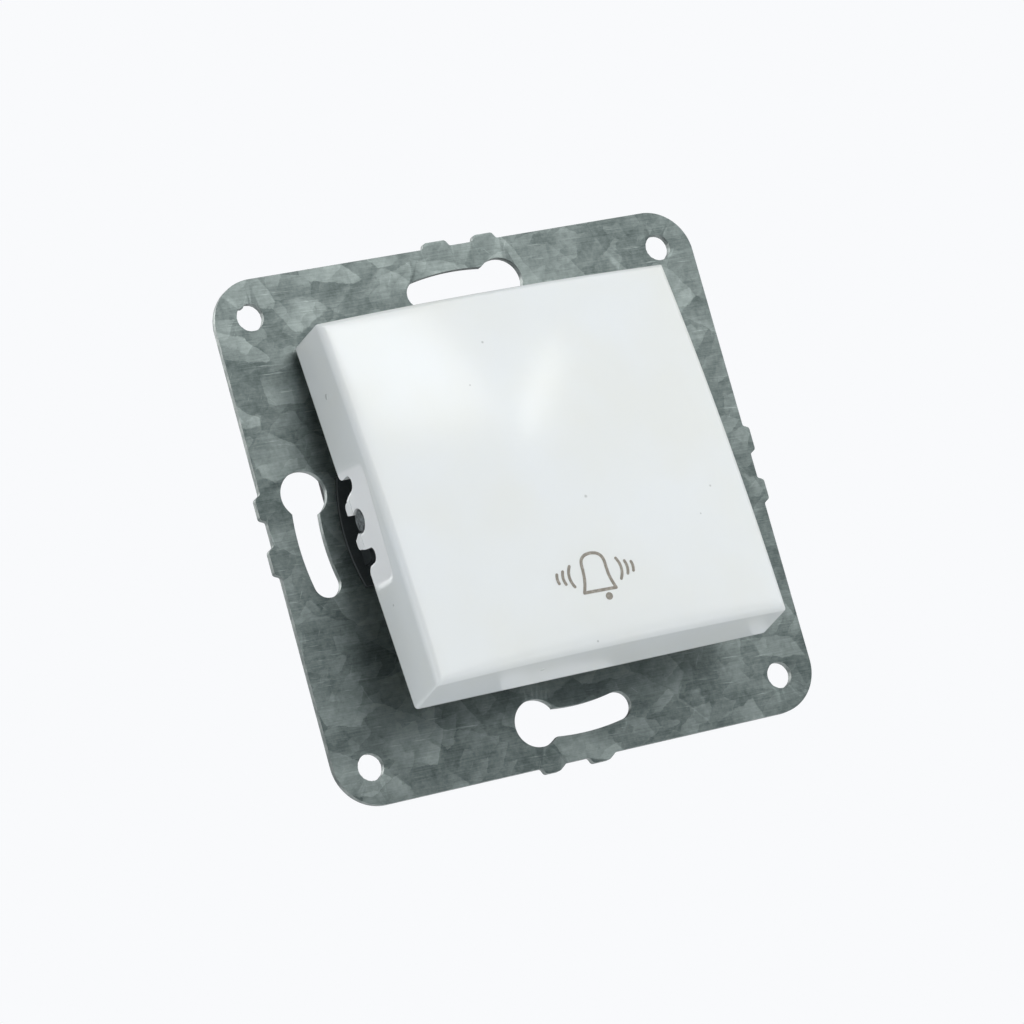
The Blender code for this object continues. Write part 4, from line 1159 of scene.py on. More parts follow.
@dataclass
class PushCover:
    """Domed rocking cover: shell, clips, side pockets, ribs and push post."""

    # The cutters' span is how far they reach inwards and outwards of the rim. The ceiling is drawn in
    # steps from its middle, as shares of its size.
    width: float = 51.7
    length: float = 51.2
    corner_height: float = 8.2
    crown_across: float = 1.2
    crown_along: float = 0.95
    crown_middle: float = 0.6
    draft: float = 0.35
    wall: float = 1.6
    top: float = 2.0
    edge_radius: float = 0.9
    corner_radius: float = 0.5
    least_corner_radius: float = 0.2
    clip_radius: float = 1.65
    clip_snap: float = 0.4
    clip_flare: float = 0.35
    finger_length: float = 1.05
    finger_width: float = 1.5
    finger_offset: float = 2.5
    finger_root: float = 0.8
    finger_thinner: float = 0.2
    root_share: float = 2 / 3
    notch_start: float = 0.4
    notch_mouth: float = -0.4
    notch_offset: float = 5.0
    notch_radius: float = 1.05
    notch_height: float = 3.0
    notch_taper: float = 0.5
    notch_flare: float = 1.0
    cutter_span: Flat = (3.2, 1.0)
    cutter_below: float = 1.0
    pocket_step: float = 0.10
    pocket_edge: float = 0.30
    pocket_rounding: float = 0.7
    pocket_limit: float = 8.3
    pocket_fade: float = 3.0
    pocket_rim_share: float = 0.3
    wall_slack: float = 0.02
    plunger_y: float = -10.85
    plunger_head: float = 6.5
    post_radius: float = 1.5
    post_root: float = 1.25
    seat_gap: float = 0.3
    rib_spacing: float = 28.0
    rib_thickness: float = 1.0
    rib_depth: float = 2.2
    rib_end_land: float = 5.6
    rib_steps: int = 12
    side_steps: int = 128
    corner_steps: int = 6
    ceiling: tuple[float, ...] = (0.03, 0.2, 0.4, 0.6, 0.8, 0.94, 1.0)
    wall_steps: int = 30
    edge_steps: int = 8
    face_steps: int = 26
    eased: float = 0.12
    eased_angle: float = 50.0

    def crown(self, x: float, along: float) -> float:
        """Height of the face over the rim.

        Args:
            x: Place across the cover.
            along: Place along the cover.

        Returns:
            The height.
        """
        across = 1 - (2 * x / self.width) ** 2
        lengthways = 1 - (2 * along / self.length) ** 2
        rise = self.crown_across * across + self.crown_along * lengthways
        return self.corner_height + rise + self.crown_middle * across * lengthways

    def rooted(self, x: float, along: float) -> float:
        """Height inside the top where ribs and the post are rooted."""
        return self.crown(x, along) - self.top * self.root_share

    def place(self, x: float, along: float, height: float) -> Vector:
        """A point at a height over the rim in the row frame."""
        return COVER_PLACE.row(x, along, height - COVER_PLACE.above_rim)

    def ring(
        self, inset: float, height_of: Callable[[float, float], float], shrink: float = 1.0
    ) -> list[Point]:
        """One ring of the cover.

        Args:
            inset: How far it is drawn in from the rim.
            height_of: Height over the rim at a place.
            shrink: Share to which it is then drawn together.

        Returns:
            Its points as x, along and height.
        """
        radius = max(self.corner_radius - inset, self.least_corner_radius)
        width, length = self.width - 2 * inset, self.length - 2 * inset
        flat = rounded_rectangle(width, length, radius, self.side_steps, self.corner_steps)
        return [(x * shrink, a * shrink, height_of(x * shrink, a * shrink)) for x, a in flat]

    def pocket_share(self, along: float, height: float) -> float:
        """1 inside the side pocket and 0 outside it, easing over its edge.

        Args:
            along: Place along the wall.
            height: Height over the rim.

        Returns:
            How far the wall is drawn in there, from 0 to 1.
        """
        total = 0.0
        for (a0, h0), (a1, h1) in zip(COVER_PLACE.pocket, COVER_PLACE.pocket[1:]):
            run, rise = a1 - a0, h1 - h0
            inside = (rise * (along - a0) - run * (height - h0)) / math.hypot(run, rise)
            total += math.exp(-inside / self.pocket_rounding)
        deepest = -self.pocket_rounding * math.log(total)
        return smoothstep(-self.pocket_edge, self.pocket_edge, deepest)

    def dented(self, x: float, along: float, height: float) -> float:
        """Draws the outer side walls in where the pockets are.

        Args:
            x: Place across the cover.
            along: Place along the cover.
            height: Height over the rim.

        Returns:
            The place across the cover with the pocket's depth taken off.
        """
        if abs(x) <= self.width / 2 - self.draft - self.wall_slack or height >= self.pocket_limit:
            return x
        fade = min(height / self.pocket_fade + self.pocket_rim_share, 1.0)
        depth = self.pocket_share(-along, height) * self.pocket_step * fade
        return x - math.copysign(depth, x)

    def shell(self) -> bpy.types.Object:
        """Builds the domed shell with its drafted walls and the shallow side pockets.

        Returns:
            The shell.
        """
        inner = self.wall + self.draft
        inside: list[list[Point]] = []
        for shrink in self.ceiling:
            inside.append(self.ring(inner, lambda x, a: self.crown(x, a) - self.top, shrink))
        inside.append(self.ring(self.wall, lambda x, a: 0.0))
        outside = [self.ring(0.0, lambda x, a: 0.0)]
        for step in range(1, self.wall_steps):
            share = step / self.wall_steps
            outside.append(
                self.ring(self.draft * share, lambda x, a, k=share: k * (self.crown(x, a) - self.edge_radius))
            )
        for step in range(self.edge_steps + 1):
            turn = math.radians(90 * step / self.edge_steps)
            inset = self.draft + self.edge_radius * (1 - math.cos(turn))
            drop = self.edge_radius * (1 - math.sin(turn))
            outside.append(self.ring(inset, lambda x, a, d=drop: self.crown(x, a) - d))
        for step in range(1, self.face_steps):
            shrink = 1.0 - step / self.face_steps
            outside.append(self.ring(self.draft + self.edge_radius, self.crown, shrink))
        placed = [[self.place(*point) for point in ring] for ring in inside]
        placed += [[self.place(self.dented(x, a, h), a, h) for x, a, h in ring] for ring in outside]
        return loft("rocking_cover", placed, self.place(0.0, 0.0, self.crown(0.0, 0.0)))

    def wall_block(
        self, name: str, side: Side, outline: Sequence[Flat], inner: float, outer: float
    ) -> bpy.types.Object:
        """An (along, height) outline drawn out across one side wall.

        Args:
            name: Name of the helper.
            side: The side.
            outline: Its closed outline.
            inner: Where it starts across the cover.
            outer: Where it ends.

        Returns:
            The helper.
        """
        return loft(name, [[self.place(side.value * x, a, h) for a, h in outline] for x in (inner, outer)])

    def wall_cutter(self, name: str, side: Side, outline: Sequence[Flat]) -> bpy.types.Object:
        """A cutter through the whole of one side wall."""
        inward, outward = self.cutter_span
        return self.wall_block(name, side, outline, self.width / 2 - inward, self.width / 2 + outward)

    def finger_pad(self, side: Side) -> bpy.types.Object:
        """The two fingers' tips below the rim, before the clip is cut between them.

        Args:
            side: The side.

        Returns:
            The pad.
        """
        half = self.finger_width / 2
        tip = -self.finger_length + half
        reach = self.finger_offset
        outline = [(reach + half, self.finger_root), (reach + half, tip)]
        outline += arc((reach, tip), half, 0, -90, 10)[1:] + arc((-reach, tip), half, -90, -180, 10)
        outline += [(-reach - half, self.finger_root)]
        outer = self.width / 2 - self.wall_slack
        inner = outer - self.wall + self.finger_thinner
        return self.wall_block(f"finger pad {side.name}", side, outline, inner, outer)

    def clip_seat(self, side: Side) -> bpy.types.Object:
        """Cutter for the trunnion's seat and its narrower neck.

        Args:
            side: The side.

        Returns:
            The cutter.
        """
        radius = self.clip_radius
        opened = math.degrees(math.acos((radius - self.clip_snap) / radius))
        flare = self.finger_offset - self.finger_width / 2 + self.clip_flare
        low = -self.finger_length - self.cutter_below
        outline = arc((0.0, COVER_PLACE.above_rim), radius, -opened, 180 + opened, 40)
        outline += [(-flare, low), (flare, low)]
        return self.wall_cutter(f"clip seat {side.name}", side, outline)

    def notch(self, side: Side, way: int) -> bpy.types.Object:
        """Cutter for the relief notch beside one finger.

        Args:
            side: The side.
            way: 1 for the finger nearer the cover's top, -1 for the other.

        Returns:
            The cutter.
        """
        top = self.notch_height - self.notch_radius
        inner = self.finger_offset + self.finger_width / 2
        ease = self.notch_offset + self.notch_radius + self.notch_flare
        low = -self.finger_length - self.cutter_below
        start = -self.finger_length * self.notch_start
        outline = [(inner, start), (inner + self.notch_taper, self.notch_flare)]
        outline += arc((self.notch_offset, top), self.notch_radius, 180, 0, 24)
        outline += arc((ease, self.notch_flare), self.notch_flare, 180, 255, 12)
        outline += [(ease, self.notch_mouth), (ease, low), (inner, low)]
        return self.wall_cutter(f"notch {side.name} {way}", side, [(way * a, h) for a, h in outline])

    def rib(self, side: Side) -> bpy.types.Object:
        """A long stiffening rib under the top.

        Args:
            side: The side.

        Returns:
            The rib.
        """
        x = side.value * self.rib_spacing / 2
        reach = self.length - 2 * self.rib_end_land
        along = [reach * (i / self.rib_steps - 0.5) for i in range(self.rib_steps + 1)]
        under = [(a, self.crown(x, a) - self.top - self.rib_depth) for a in along]
        under += [(a, self.rooted(x, a)) for a in reversed(along)]
        half = self.rib_thickness / 2
        return loft(f"rib {side.name}", [[self.place(x + d, a, h) for a, h in under] for d in (-half, half)])

    def post(self) -> bpy.types.Object:
        """Post with a round end that bears on the plunger.

        Returns:
            The post.
        """
        c, s = math.cos(math.radians(COVER_PLACE.tilt)), math.sin(math.radians(COVER_PLACE.tilt))
        dy = self.plunger_y - COVER_PLACE.y
        dz = self.plunger_head + self.seat_gap + self.post_radius - COVER_PLACE.z
        along, centre = dy * c - dz * s, dy * s + dz * c + COVER_PLACE.above_rim
        profile = [arc((0.0, centre), self.post_radius, t, t, 1)[0] for t in (-80, -60, -45, -30, -15, 0)]
        profile.append((self.post_radius * self.post_root, self.rooted(0.0, along)))
        rings = [
            [self.place(x, along + y, h) for x, y in round_hole((0.0, 0.0), r, 36)] for r, h in profile
        ]
        return loft("push post", rings)

    def build(self) -> bpy.types.Object:
        """Builds and dresses the cover.

        Returns:
            The cover.
        """
        item = self.shell()
        added = [self.rib(s) for s in Side] + [self.post()] + [self.finger_pad(s) for s in Side]
        cut_with(item, added, "UNION")
        cutters = [self.clip_seat(s) for s in Side] + [self.notch(s, way) for s in Side for way in (1, -1)]
        cut_with(item, cutters)
        ease_edges(item, self.eased, self.eased_angle, sharp=self.eased_angle)
        WHITE.dress(item)
        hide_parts("push_cover")
        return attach(item, Body.COVER.value)


@dataclass
class BellSign:
    """The common sign of a ringing bell, printed on the cover near its lower edge."""

    # The clapper has its place and its radius. A wave has its distance, its half height and its bow.
    centre: Flat = (-0.5, -15.75)
    turn: float = -1.4
    stroke: float = 0.42
    thin_stroke: float = 0.95
    film: float = 0.02
    film_step: float = 0.002
    sunk: float = -0.03
    clapper: Point = (1.0, -3.35, 0.5)
    dome: tuple[Flat, ...] = (
        (-2.28, -2.4), (-1.96, -1.45), (-1.75, -0.5), (-1.66, 0.5), (-1.62, 1.4), (-1.42, 2.0), (-0.95, 2.42),
        (-0.3, 2.6), (0.3, 2.6), (0.95, 2.42), (1.42, 2.0), (1.64, 1.4), (1.68, 0.5), (1.74, -0.5),
        (1.95, -1.45), (2.28, -2.4),
    )
    dome_steps: int = 6
    waves: tuple[Point, ...] = ((3.35, 1.38, 0.4), (4.45, 0.85, 0.18), (5.35, 0.6, 0.1))
    wave_steps: int = 6

    def smooth(self, points: Sequence[Flat]) -> list[Flat]:
        """Draws a smooth line through points (Catmull-Rom).

        Args:
            points: The points.

        Returns:
            The line, which passes through all of them.
        """
        ends = [points[0], *points, points[-1]]
        line: list[Flat] = []
        for spans in zip(ends, ends[1:], ends[2:], ends[3:]):
            for i in range(self.dome_steps):
                t = i / self.dome_steps
                bends = [
                    (2 * b, (c - a) * t, (2 * a - 5 * b + 4 * c - d) * t**2, (3 * b - a - 3 * c + d) * t**3)
                    for a, b, c, d in zip(*spans)
                ]
                line.append((0.5 * sum(bends[0]), 0.5 * sum(bends[1])))
        return line + [points[-1]]

    def ribbon(self, line: Sequence[Flat], width: float) -> list[Flat]:
        """Draws a stroke with round ends along a line.

        Args:
            line: The line.
            width: Width of the stroke.

        Returns:
            The closed outline.
        """
        half = width / 2
        left, right = [], []
        for i, here in enumerate(line):
            ahead = Vector(line[min(i + 1, len(line) - 1)]) - Vector(line[max(i - 1, 0)])
            side = Vector((-ahead.y, ahead.x)).normalized() * half
            left.append((here[0] + side.x, here[1] + side.y))
            right.append((here[0] - side.x, here[1] - side.y))
        ends = []
        for tip, before in ((line[-1], line[-2]), (line[0], line[1])):
            out = math.degrees(math.atan2(tip[1] - before[1], tip[0] - before[0]))
            ends.append(arc(tip, half, out + 90, out - 90, 8)[1:-1])
        return left + ends[0] + list(reversed(right)) + ends[1]

    def strokes(self) -> list[list[Flat]]:
        """Draws the dome, its lower line, the clapper and the sound waves.

        Returns:
            Their closed outlines about the sign's centre.
        """
        drawn = [self.ribbon(self.smooth(self.dome), self.stroke)]
        drawn.append(self.ribbon([self.dome[0], self.dome[-1]], self.stroke))
        x, y, radius = self.clapper
        drawn.append(round_hole((x, y), radius, 28))
        for way in (1, -1):
            for out, half, bow in self.waves:
                shares = [step / self.wave_steps for step in range(-self.wave_steps, self.wave_steps + 1)]
                line = [(way * (out + bow * (1 - share**2)), half * share) for share in shares]
                drawn.append(self.ribbon(line, self.stroke * self.thin_stroke))
        return drawn

    def on_face(self, cover: PushCover, x: float, y: float, height: float) -> Vector:
        """A point of the sign over the cover's face, in the row frame.

        Args:
            cover: The cover.
            x: Place across the sign.
            y: Place up the sign.
            height: Height over the face.

        Returns:
            The point.
        """
        (u, v), = turned([(x, y)], self.turn)
        u, v = u + self.centre[0], v + self.centre[1]
        return cover.place(u, v, cover.crown(u, v) + height)

    def build(self, cover: PushCover) -> bpy.types.Object:
        """Builds and dresses the sign on the cover's face.

        Args:
            cover: The cover that it is printed on.

        Returns:
            The sign.
        """
        data = bmesh.new()
        for index, outline in enumerate(self.strokes()):
            top = self.film + self.film_step * (index % 3)
            part = pierced(f"stroke {index}", outline, [], partial(self.on_face, cover), self.sunk, top)
            data.from_mesh(part.data)
            bpy.data.objects.remove(part, do_unlink=True)
        item = from_bmesh("bell_sign", data)
        INK.dress(item)
        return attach(item, Body.COVER.value)


@dataclass(frozen=True)
class FinePart:
    """A piece that keeps the frame's own form, with the slight rounding that its making leaves."""

    node: str
    name: str
    edge: float
    finish: Finish
    body: Body = Body.FIXED

    def shaped(self, node: bpy.types.Object) -> bpy.types.Object:
        """The frame's form with its edges eased."""
        return ease_edges(merged_copy(node, self.name), self.edge)

    def build(self, nodes: dict[str, bpy.types.Object]) -> bpy.types.Object:
        """Builds and dresses the piece.

        Args:
            nodes: The frame's nodes by name.

        Returns:
            The piece.
        """
        item = self.finish.dress(self.shaped(nodes[self.node]))
        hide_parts(self.node)
        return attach(item, self.body.value)


@dataclass(frozen=True)
class Housing(FinePart):
    """The housing, whose flange narrows to its back so that the keyholes stay clear."""

    node: str = "housing"
    name: str = "housing_moulding"
    edge: float = 0.2
    finish: Finish = GREY
    flange_radius: float = 26.5
    flange_back: float = -2.3
    chamfer: Flat = (1.1, 1.4)
    sector: float = 26.0
    sector_steps: int = 12
    overlap: float = 0.2
    flange_front: float = -0.3
    riveted_front: float = -0.02
    front_slack: float = 0.02

    def clearance(self, axis: float) -> bpy.types.Object:
        """Cutter that chamfers the flange's back rim behind one keyhole.

        Args:
            axis: Middle of the chamfer in degrees.

        Returns:
            The cutter.
        """
        wide, deep = self.chamfer
        outer, back = self.flange_radius + self.overlap, self.flange_back - self.overlap
        section = [(outer, self.flange_back + deep), (outer, back), (self.flange_radius - wide, back)]
        rings = []
        for step in range(self.sector_steps + 1):
            angle = axis + self.sector * (2 * step / self.sector_steps - 1)
            rings.append([stand(*arc((0, 0), radius, angle, angle, 1)[0], z) for radius, z in section])
        return loft(f"keyhole clearance {axis}", rings)

    def shaped(self, node: bpy.types.Object) -> bpy.types.Object:
        """The frame's form riveted close to the plate, chamfered behind the keyholes and eased.

        Args:
            node: The frame's housing.

        Returns:
            The shaped housing.
        """
        item = merged_copy(node, self.name)
        level, close = stand(0.0, 0.0, self.flange_front).y, stand(0.0, 0.0, self.riveted_front).y
        for corner in item.data.vertices:
            if abs(corner.co.y - level) < self.front_slack * MM:
                corner.co.y = close
        return ease_edges(cut_with(item, [self.clearance(90.0 * quarter) for quarter in range(4)]), self.edge)


FINE_PARTS = (
    FinePart("bearing_carrier", "carrier_moulding", 0.12, GREY),
    Housing(),
    FinePart("plunger", "plunger_moulding", 0.12, NATURAL, Body.PLUNGER),
    FinePart("contact_bridge", "bridge_blank", 0.08, BRASS, Body.PLUNGER),
    FinePart("fixed_contact_left", "left_strip", 0.08, BRASS),
    FinePart("fixed_contact_right", "right_strip", 0.08, BRASS),
    FinePart("terminal_block_left", "left_block", 0.15, BRASS),
    FinePart("terminal_block_right", "right_block", 0.15, BRASS),
    FinePart("moving_tip_left", "left_moving_button", 0.1, SILVER, Body.PLUNGER),
    FinePart("moving_tip_right", "right_moving_button", 0.1, SILVER, Body.PLUNGER),
    FinePart("fixed_tip_left", "left_fixed_button", 0.1, SILVER),
    FinePart("fixed_tip_right", "right_fixed_button", 0.1, SILVER),
)


# Pieces that follow a rule


def grow(name: str, sizes: dict[str, float | int], form: Form, finish: Finish) -> bpy.types.Object:
    """Grows a piece with a Geometry Nodes tree in the face frame and turns it into a plain mesh.

    Args:
        name: Name of the piece.
        sizes: Named inputs of the tree and their values, lengths in millimetres.
        form: Adds the nodes that make the form, given the tree's input sockets.
        finish: Its finish.

    Returns:
        The dressed piece.
    """
    tree = bpy.data.node_groups.new(f"{name} form", "GeometryNodeTree")
    tree.interface.new_socket("Geometry", in_out="OUTPUT", socket_type="NodeSocketGeometry")
    sockets = {}
    for key, value in sizes.items():
        kind = "NodeSocketInt" if isinstance(value, int) else "NodeSocketFloat"
        sockets[key] = tree.interface.new_socket(key, in_out="INPUT", socket_type=kind)
    paint = tree.interface.new_socket("Material", in_out="INPUT", socket_type="NodeSocketMaterial")
    add = partial(add_node, tree)
    entry = add("NodeGroupInput")
    upright = add(
        "GeometryNodeTransform",
        {"Geometry": form(add, entry.outputs), "Rotation": (math.pi / 2, 0.0, 0.0), "Scale": (MM, MM, MM)},
    )
    whole = add("GeometryNodeRealizeInstances", {"Geometry": upright})
    painted = add("GeometryNodeSetMaterial", {"Geometry": whole, "Material": entry.outputs["Material"]})
    add("NodeGroupOutput", {0: painted})
    item = link(name, bpy.data.meshes.new(name))
    step = item.modifiers.new(tree.name, "NODES")
    step.node_group = tree
    for key, value in sizes.items():
        step[sockets[key].identifier] = value
    step[paint.identifier] = finish.material()
    plain_mesh(item)
    item.data.shade_smooth()
    item.data.set_sharp_from_angle(angle=math.radians(SHARP_ANGLE))
    return finish.dress(item)


@dataclass(frozen=True)
class Coil:
    """A compression spring: round wire on a helix whose end turns lie closed."""

    name: str
    node: str
    body: Body
    radius: float
    wire: float
    turns: float
    back: float
    front: float
    axis_y: float = -10.85
    end_turns: float = 0.75
    end_pitch: float = 1.1
    steps: int = 260
    wire_sides: int = 16

    def form(self, add: AddNode, sizes: Sockets) -> bpy.types.Node:
        """Bends a line into the helix, then sweeps the round wire along it.

        Args:
            add: Adds a node to the tree.
            sizes: The tree's input sockets.

        Returns:
            The node that gives the spring.
        """
        line = add("GeometryNodeCurvePrimitiveLine")
        line = add("GeometryNodeResampleCurve", {"Curve": line, "Count": sizes["Steps"]})
        share = add("GeometryNodeSplineParameter").outputs["Factor"]
        first = sizes["End Share"]
        last = add("ShaderNodeMath", {0: 1.0, 1: first}, operation="SUBTRACT")
        height = sizes["Start"]
        for climb in (
            {"From Max": first, "To Max": sizes["End Rise"]},
            {"From Min": first, "From Max": last, "To Max": sizes["Open Rise"]},
            {"From Min": last, "To Max": sizes["End Rise"]},
        ):
            part = add("ShaderNodeMapRange", {"Value": share, **climb})
            height = add("ShaderNodeMath", {0: height, 1: part}, operation="ADD")
        angle = add("ShaderNodeMath", {0: share, 1: sizes["Angle"]}, operation="MULTIPLY")
        across, along = [
            add(
                "ShaderNodeMath",
                {0: add("ShaderNodeMath", {0: angle}, operation=wave), 1: sizes["Radius"], 2: offset},
                operation="MULTIPLY_ADD",
            )
            for wave, offset in (("COSINE", 0.0), ("SINE", sizes["Axis"]))
        ]
        place = add("ShaderNodeCombineXYZ", {"X": across, "Y": along, "Z": height})
        helix = add("GeometryNodeSetPosition", {"Geometry": line, "Position": place})
        section = {"Resolution": self.wire_sides, "Radius": sizes["Wire Radius"]}
        ring = add("GeometryNodeCurvePrimitiveCircle", section)
        return add("GeometryNodeCurveToMesh", {"Curve": helix, "Profile Curve": ring, "Fill Caps": True})

    def build(self) -> bpy.types.Object:
        """Builds and dresses the spring.

        Returns:
            The spring.
        """
        closed = self.wire * self.end_pitch
        sizes = {
            "Radius": self.radius,
            "Wire Radius": self.wire / 2,
            "Angle": 2 * math.pi * self.turns,
            "Start": self.back + self.wire / 2,
            "Open Rise": self.front - self.back - self.wire - 2 * closed,
            "End Rise": closed,
            "End Share": self.end_turns / self.turns,
            "Axis": self.axis_y,
            "Steps": self.steps,
        }
        item = grow(self.name, sizes, self.form, WIRE)
        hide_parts(self.node)
        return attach(item, self.body.value)


@dataclass(frozen=True)
class Rivets:
    """Four rivets with domed heads in front and flatter closed heads behind."""

    circle: float = 29.0
    shank: float = 1.1
    head_radius: float = 1.8
    head_height: float = 0.6
    closed_head: Point = (0.96, 0.96, 0.8)
    back: float = -2.4
    front: float = 1.1
    lean: Point = (0.01, 0.01, 6.28)
    seed: int = 3

    def form(self, add: AddNode, sizes: Sockets) -> bpy.types.Node:
        """Makes one rivet and sets it on the corners of a square.

        Args:
            add: Adds a node to the tree.
            sizes: The tree's input sockets.

        Returns:
            The node that gives the rivets.
        """
        ball = add("GeometryNodeMeshUVSphere", {"Segments": 40, "Rings": 24, "Radius": sizes["Head Radius"]})
        apart = add("ShaderNodeSeparateXYZ", {0: add("GeometryNodeInputPosition")})
        lift = add("ShaderNodeMath", {0: apart.outputs["Z"], 1: 0.0}, operation="MAXIMUM")
        lift = add("ShaderNodeMath", {0: lift, 1: sizes["Flatness"]}, operation="MULTIPLY")
        flat = add("ShaderNodeCombineXYZ", {"X": apart.outputs["X"], "Y": apart.outputs["Y"], "Z": lift})
        dome = add("GeometryNodeSetPosition", {"Geometry": ball, "Position": flat})
        front = add("ShaderNodeCombineXYZ", {"Z": sizes["Front"]})
        back = add("ShaderNodeCombineXYZ", {"Z": sizes["Back"]})
        middle = add("ShaderNodeVectorMath", {0: front, 1: back}, operation="ADD")
        middle = add("ShaderNodeVectorMath", {0: middle, "Scale": 0.5}, operation="SCALE")
        length = add("ShaderNodeMath", {0: sizes["Front"], 1: sizes["Back"]}, operation="SUBTRACT")
        rod = {"Vertices": 28, "Radius": sizes["Shank Radius"], "Depth": length}
        shank = add("GeometryNodeMeshCylinder", rod)
        behind = {"Translation": back, "Rotation": (math.pi, 0.0, 0.0), "Scale": self.closed_head}
        parts = [
            add("GeometryNodeTransform", {"Geometry": dome, "Translation": front}),
            add("GeometryNodeTransform", {"Geometry": dome, **behind}),
            add("GeometryNodeTransform", {"Geometry": shank, "Translation": middle}),
        ]
        rivet = add("GeometryNodeJoinGeometry", {"Geometry": parts})
        square = add("GeometryNodeMeshCircle", {"Vertices": 4, "Radius": sizes["Circle"]})
        square = add("GeometryNodeTransform", {"Geometry": square, "Rotation": (0.0, 0.0, math.pi / 4)})
        x, y, turn = self.lean
        lean = add(
            "FunctionNodeRandomValue",
            {"Min": (-x, -y, 0.0), "Max": (x, y, turn), "Seed": sizes["Seed"]},
            data_type="FLOAT_VECTOR",
        )
        lean = add("FunctionNodeEulerToRotation", {0: lean})
        return add("GeometryNodeInstanceOnPoints", {"Points": square, "Instance": rivet, "Rotation": lean})

    def build(self) -> bpy.types.Object:
        """Builds and dresses the rivets.

        Returns:
            The rivets as one piece.
        """
        sizes = {
            "Circle": self.circle,
            "Shank Radius": self.shank,
            "Head Radius": self.head_radius,
            "Flatness": self.head_height / self.head_radius,
            "Front": self.front,
            "Back": self.back,
            "Seed": self.seed,
        }
        item = grow("domed_rivets", sizes, self.form, STEEL)
        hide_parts("rivet_1", "rivet_2", "rivet_3", "rivet_4")
        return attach(item, Body.FIXED.value)


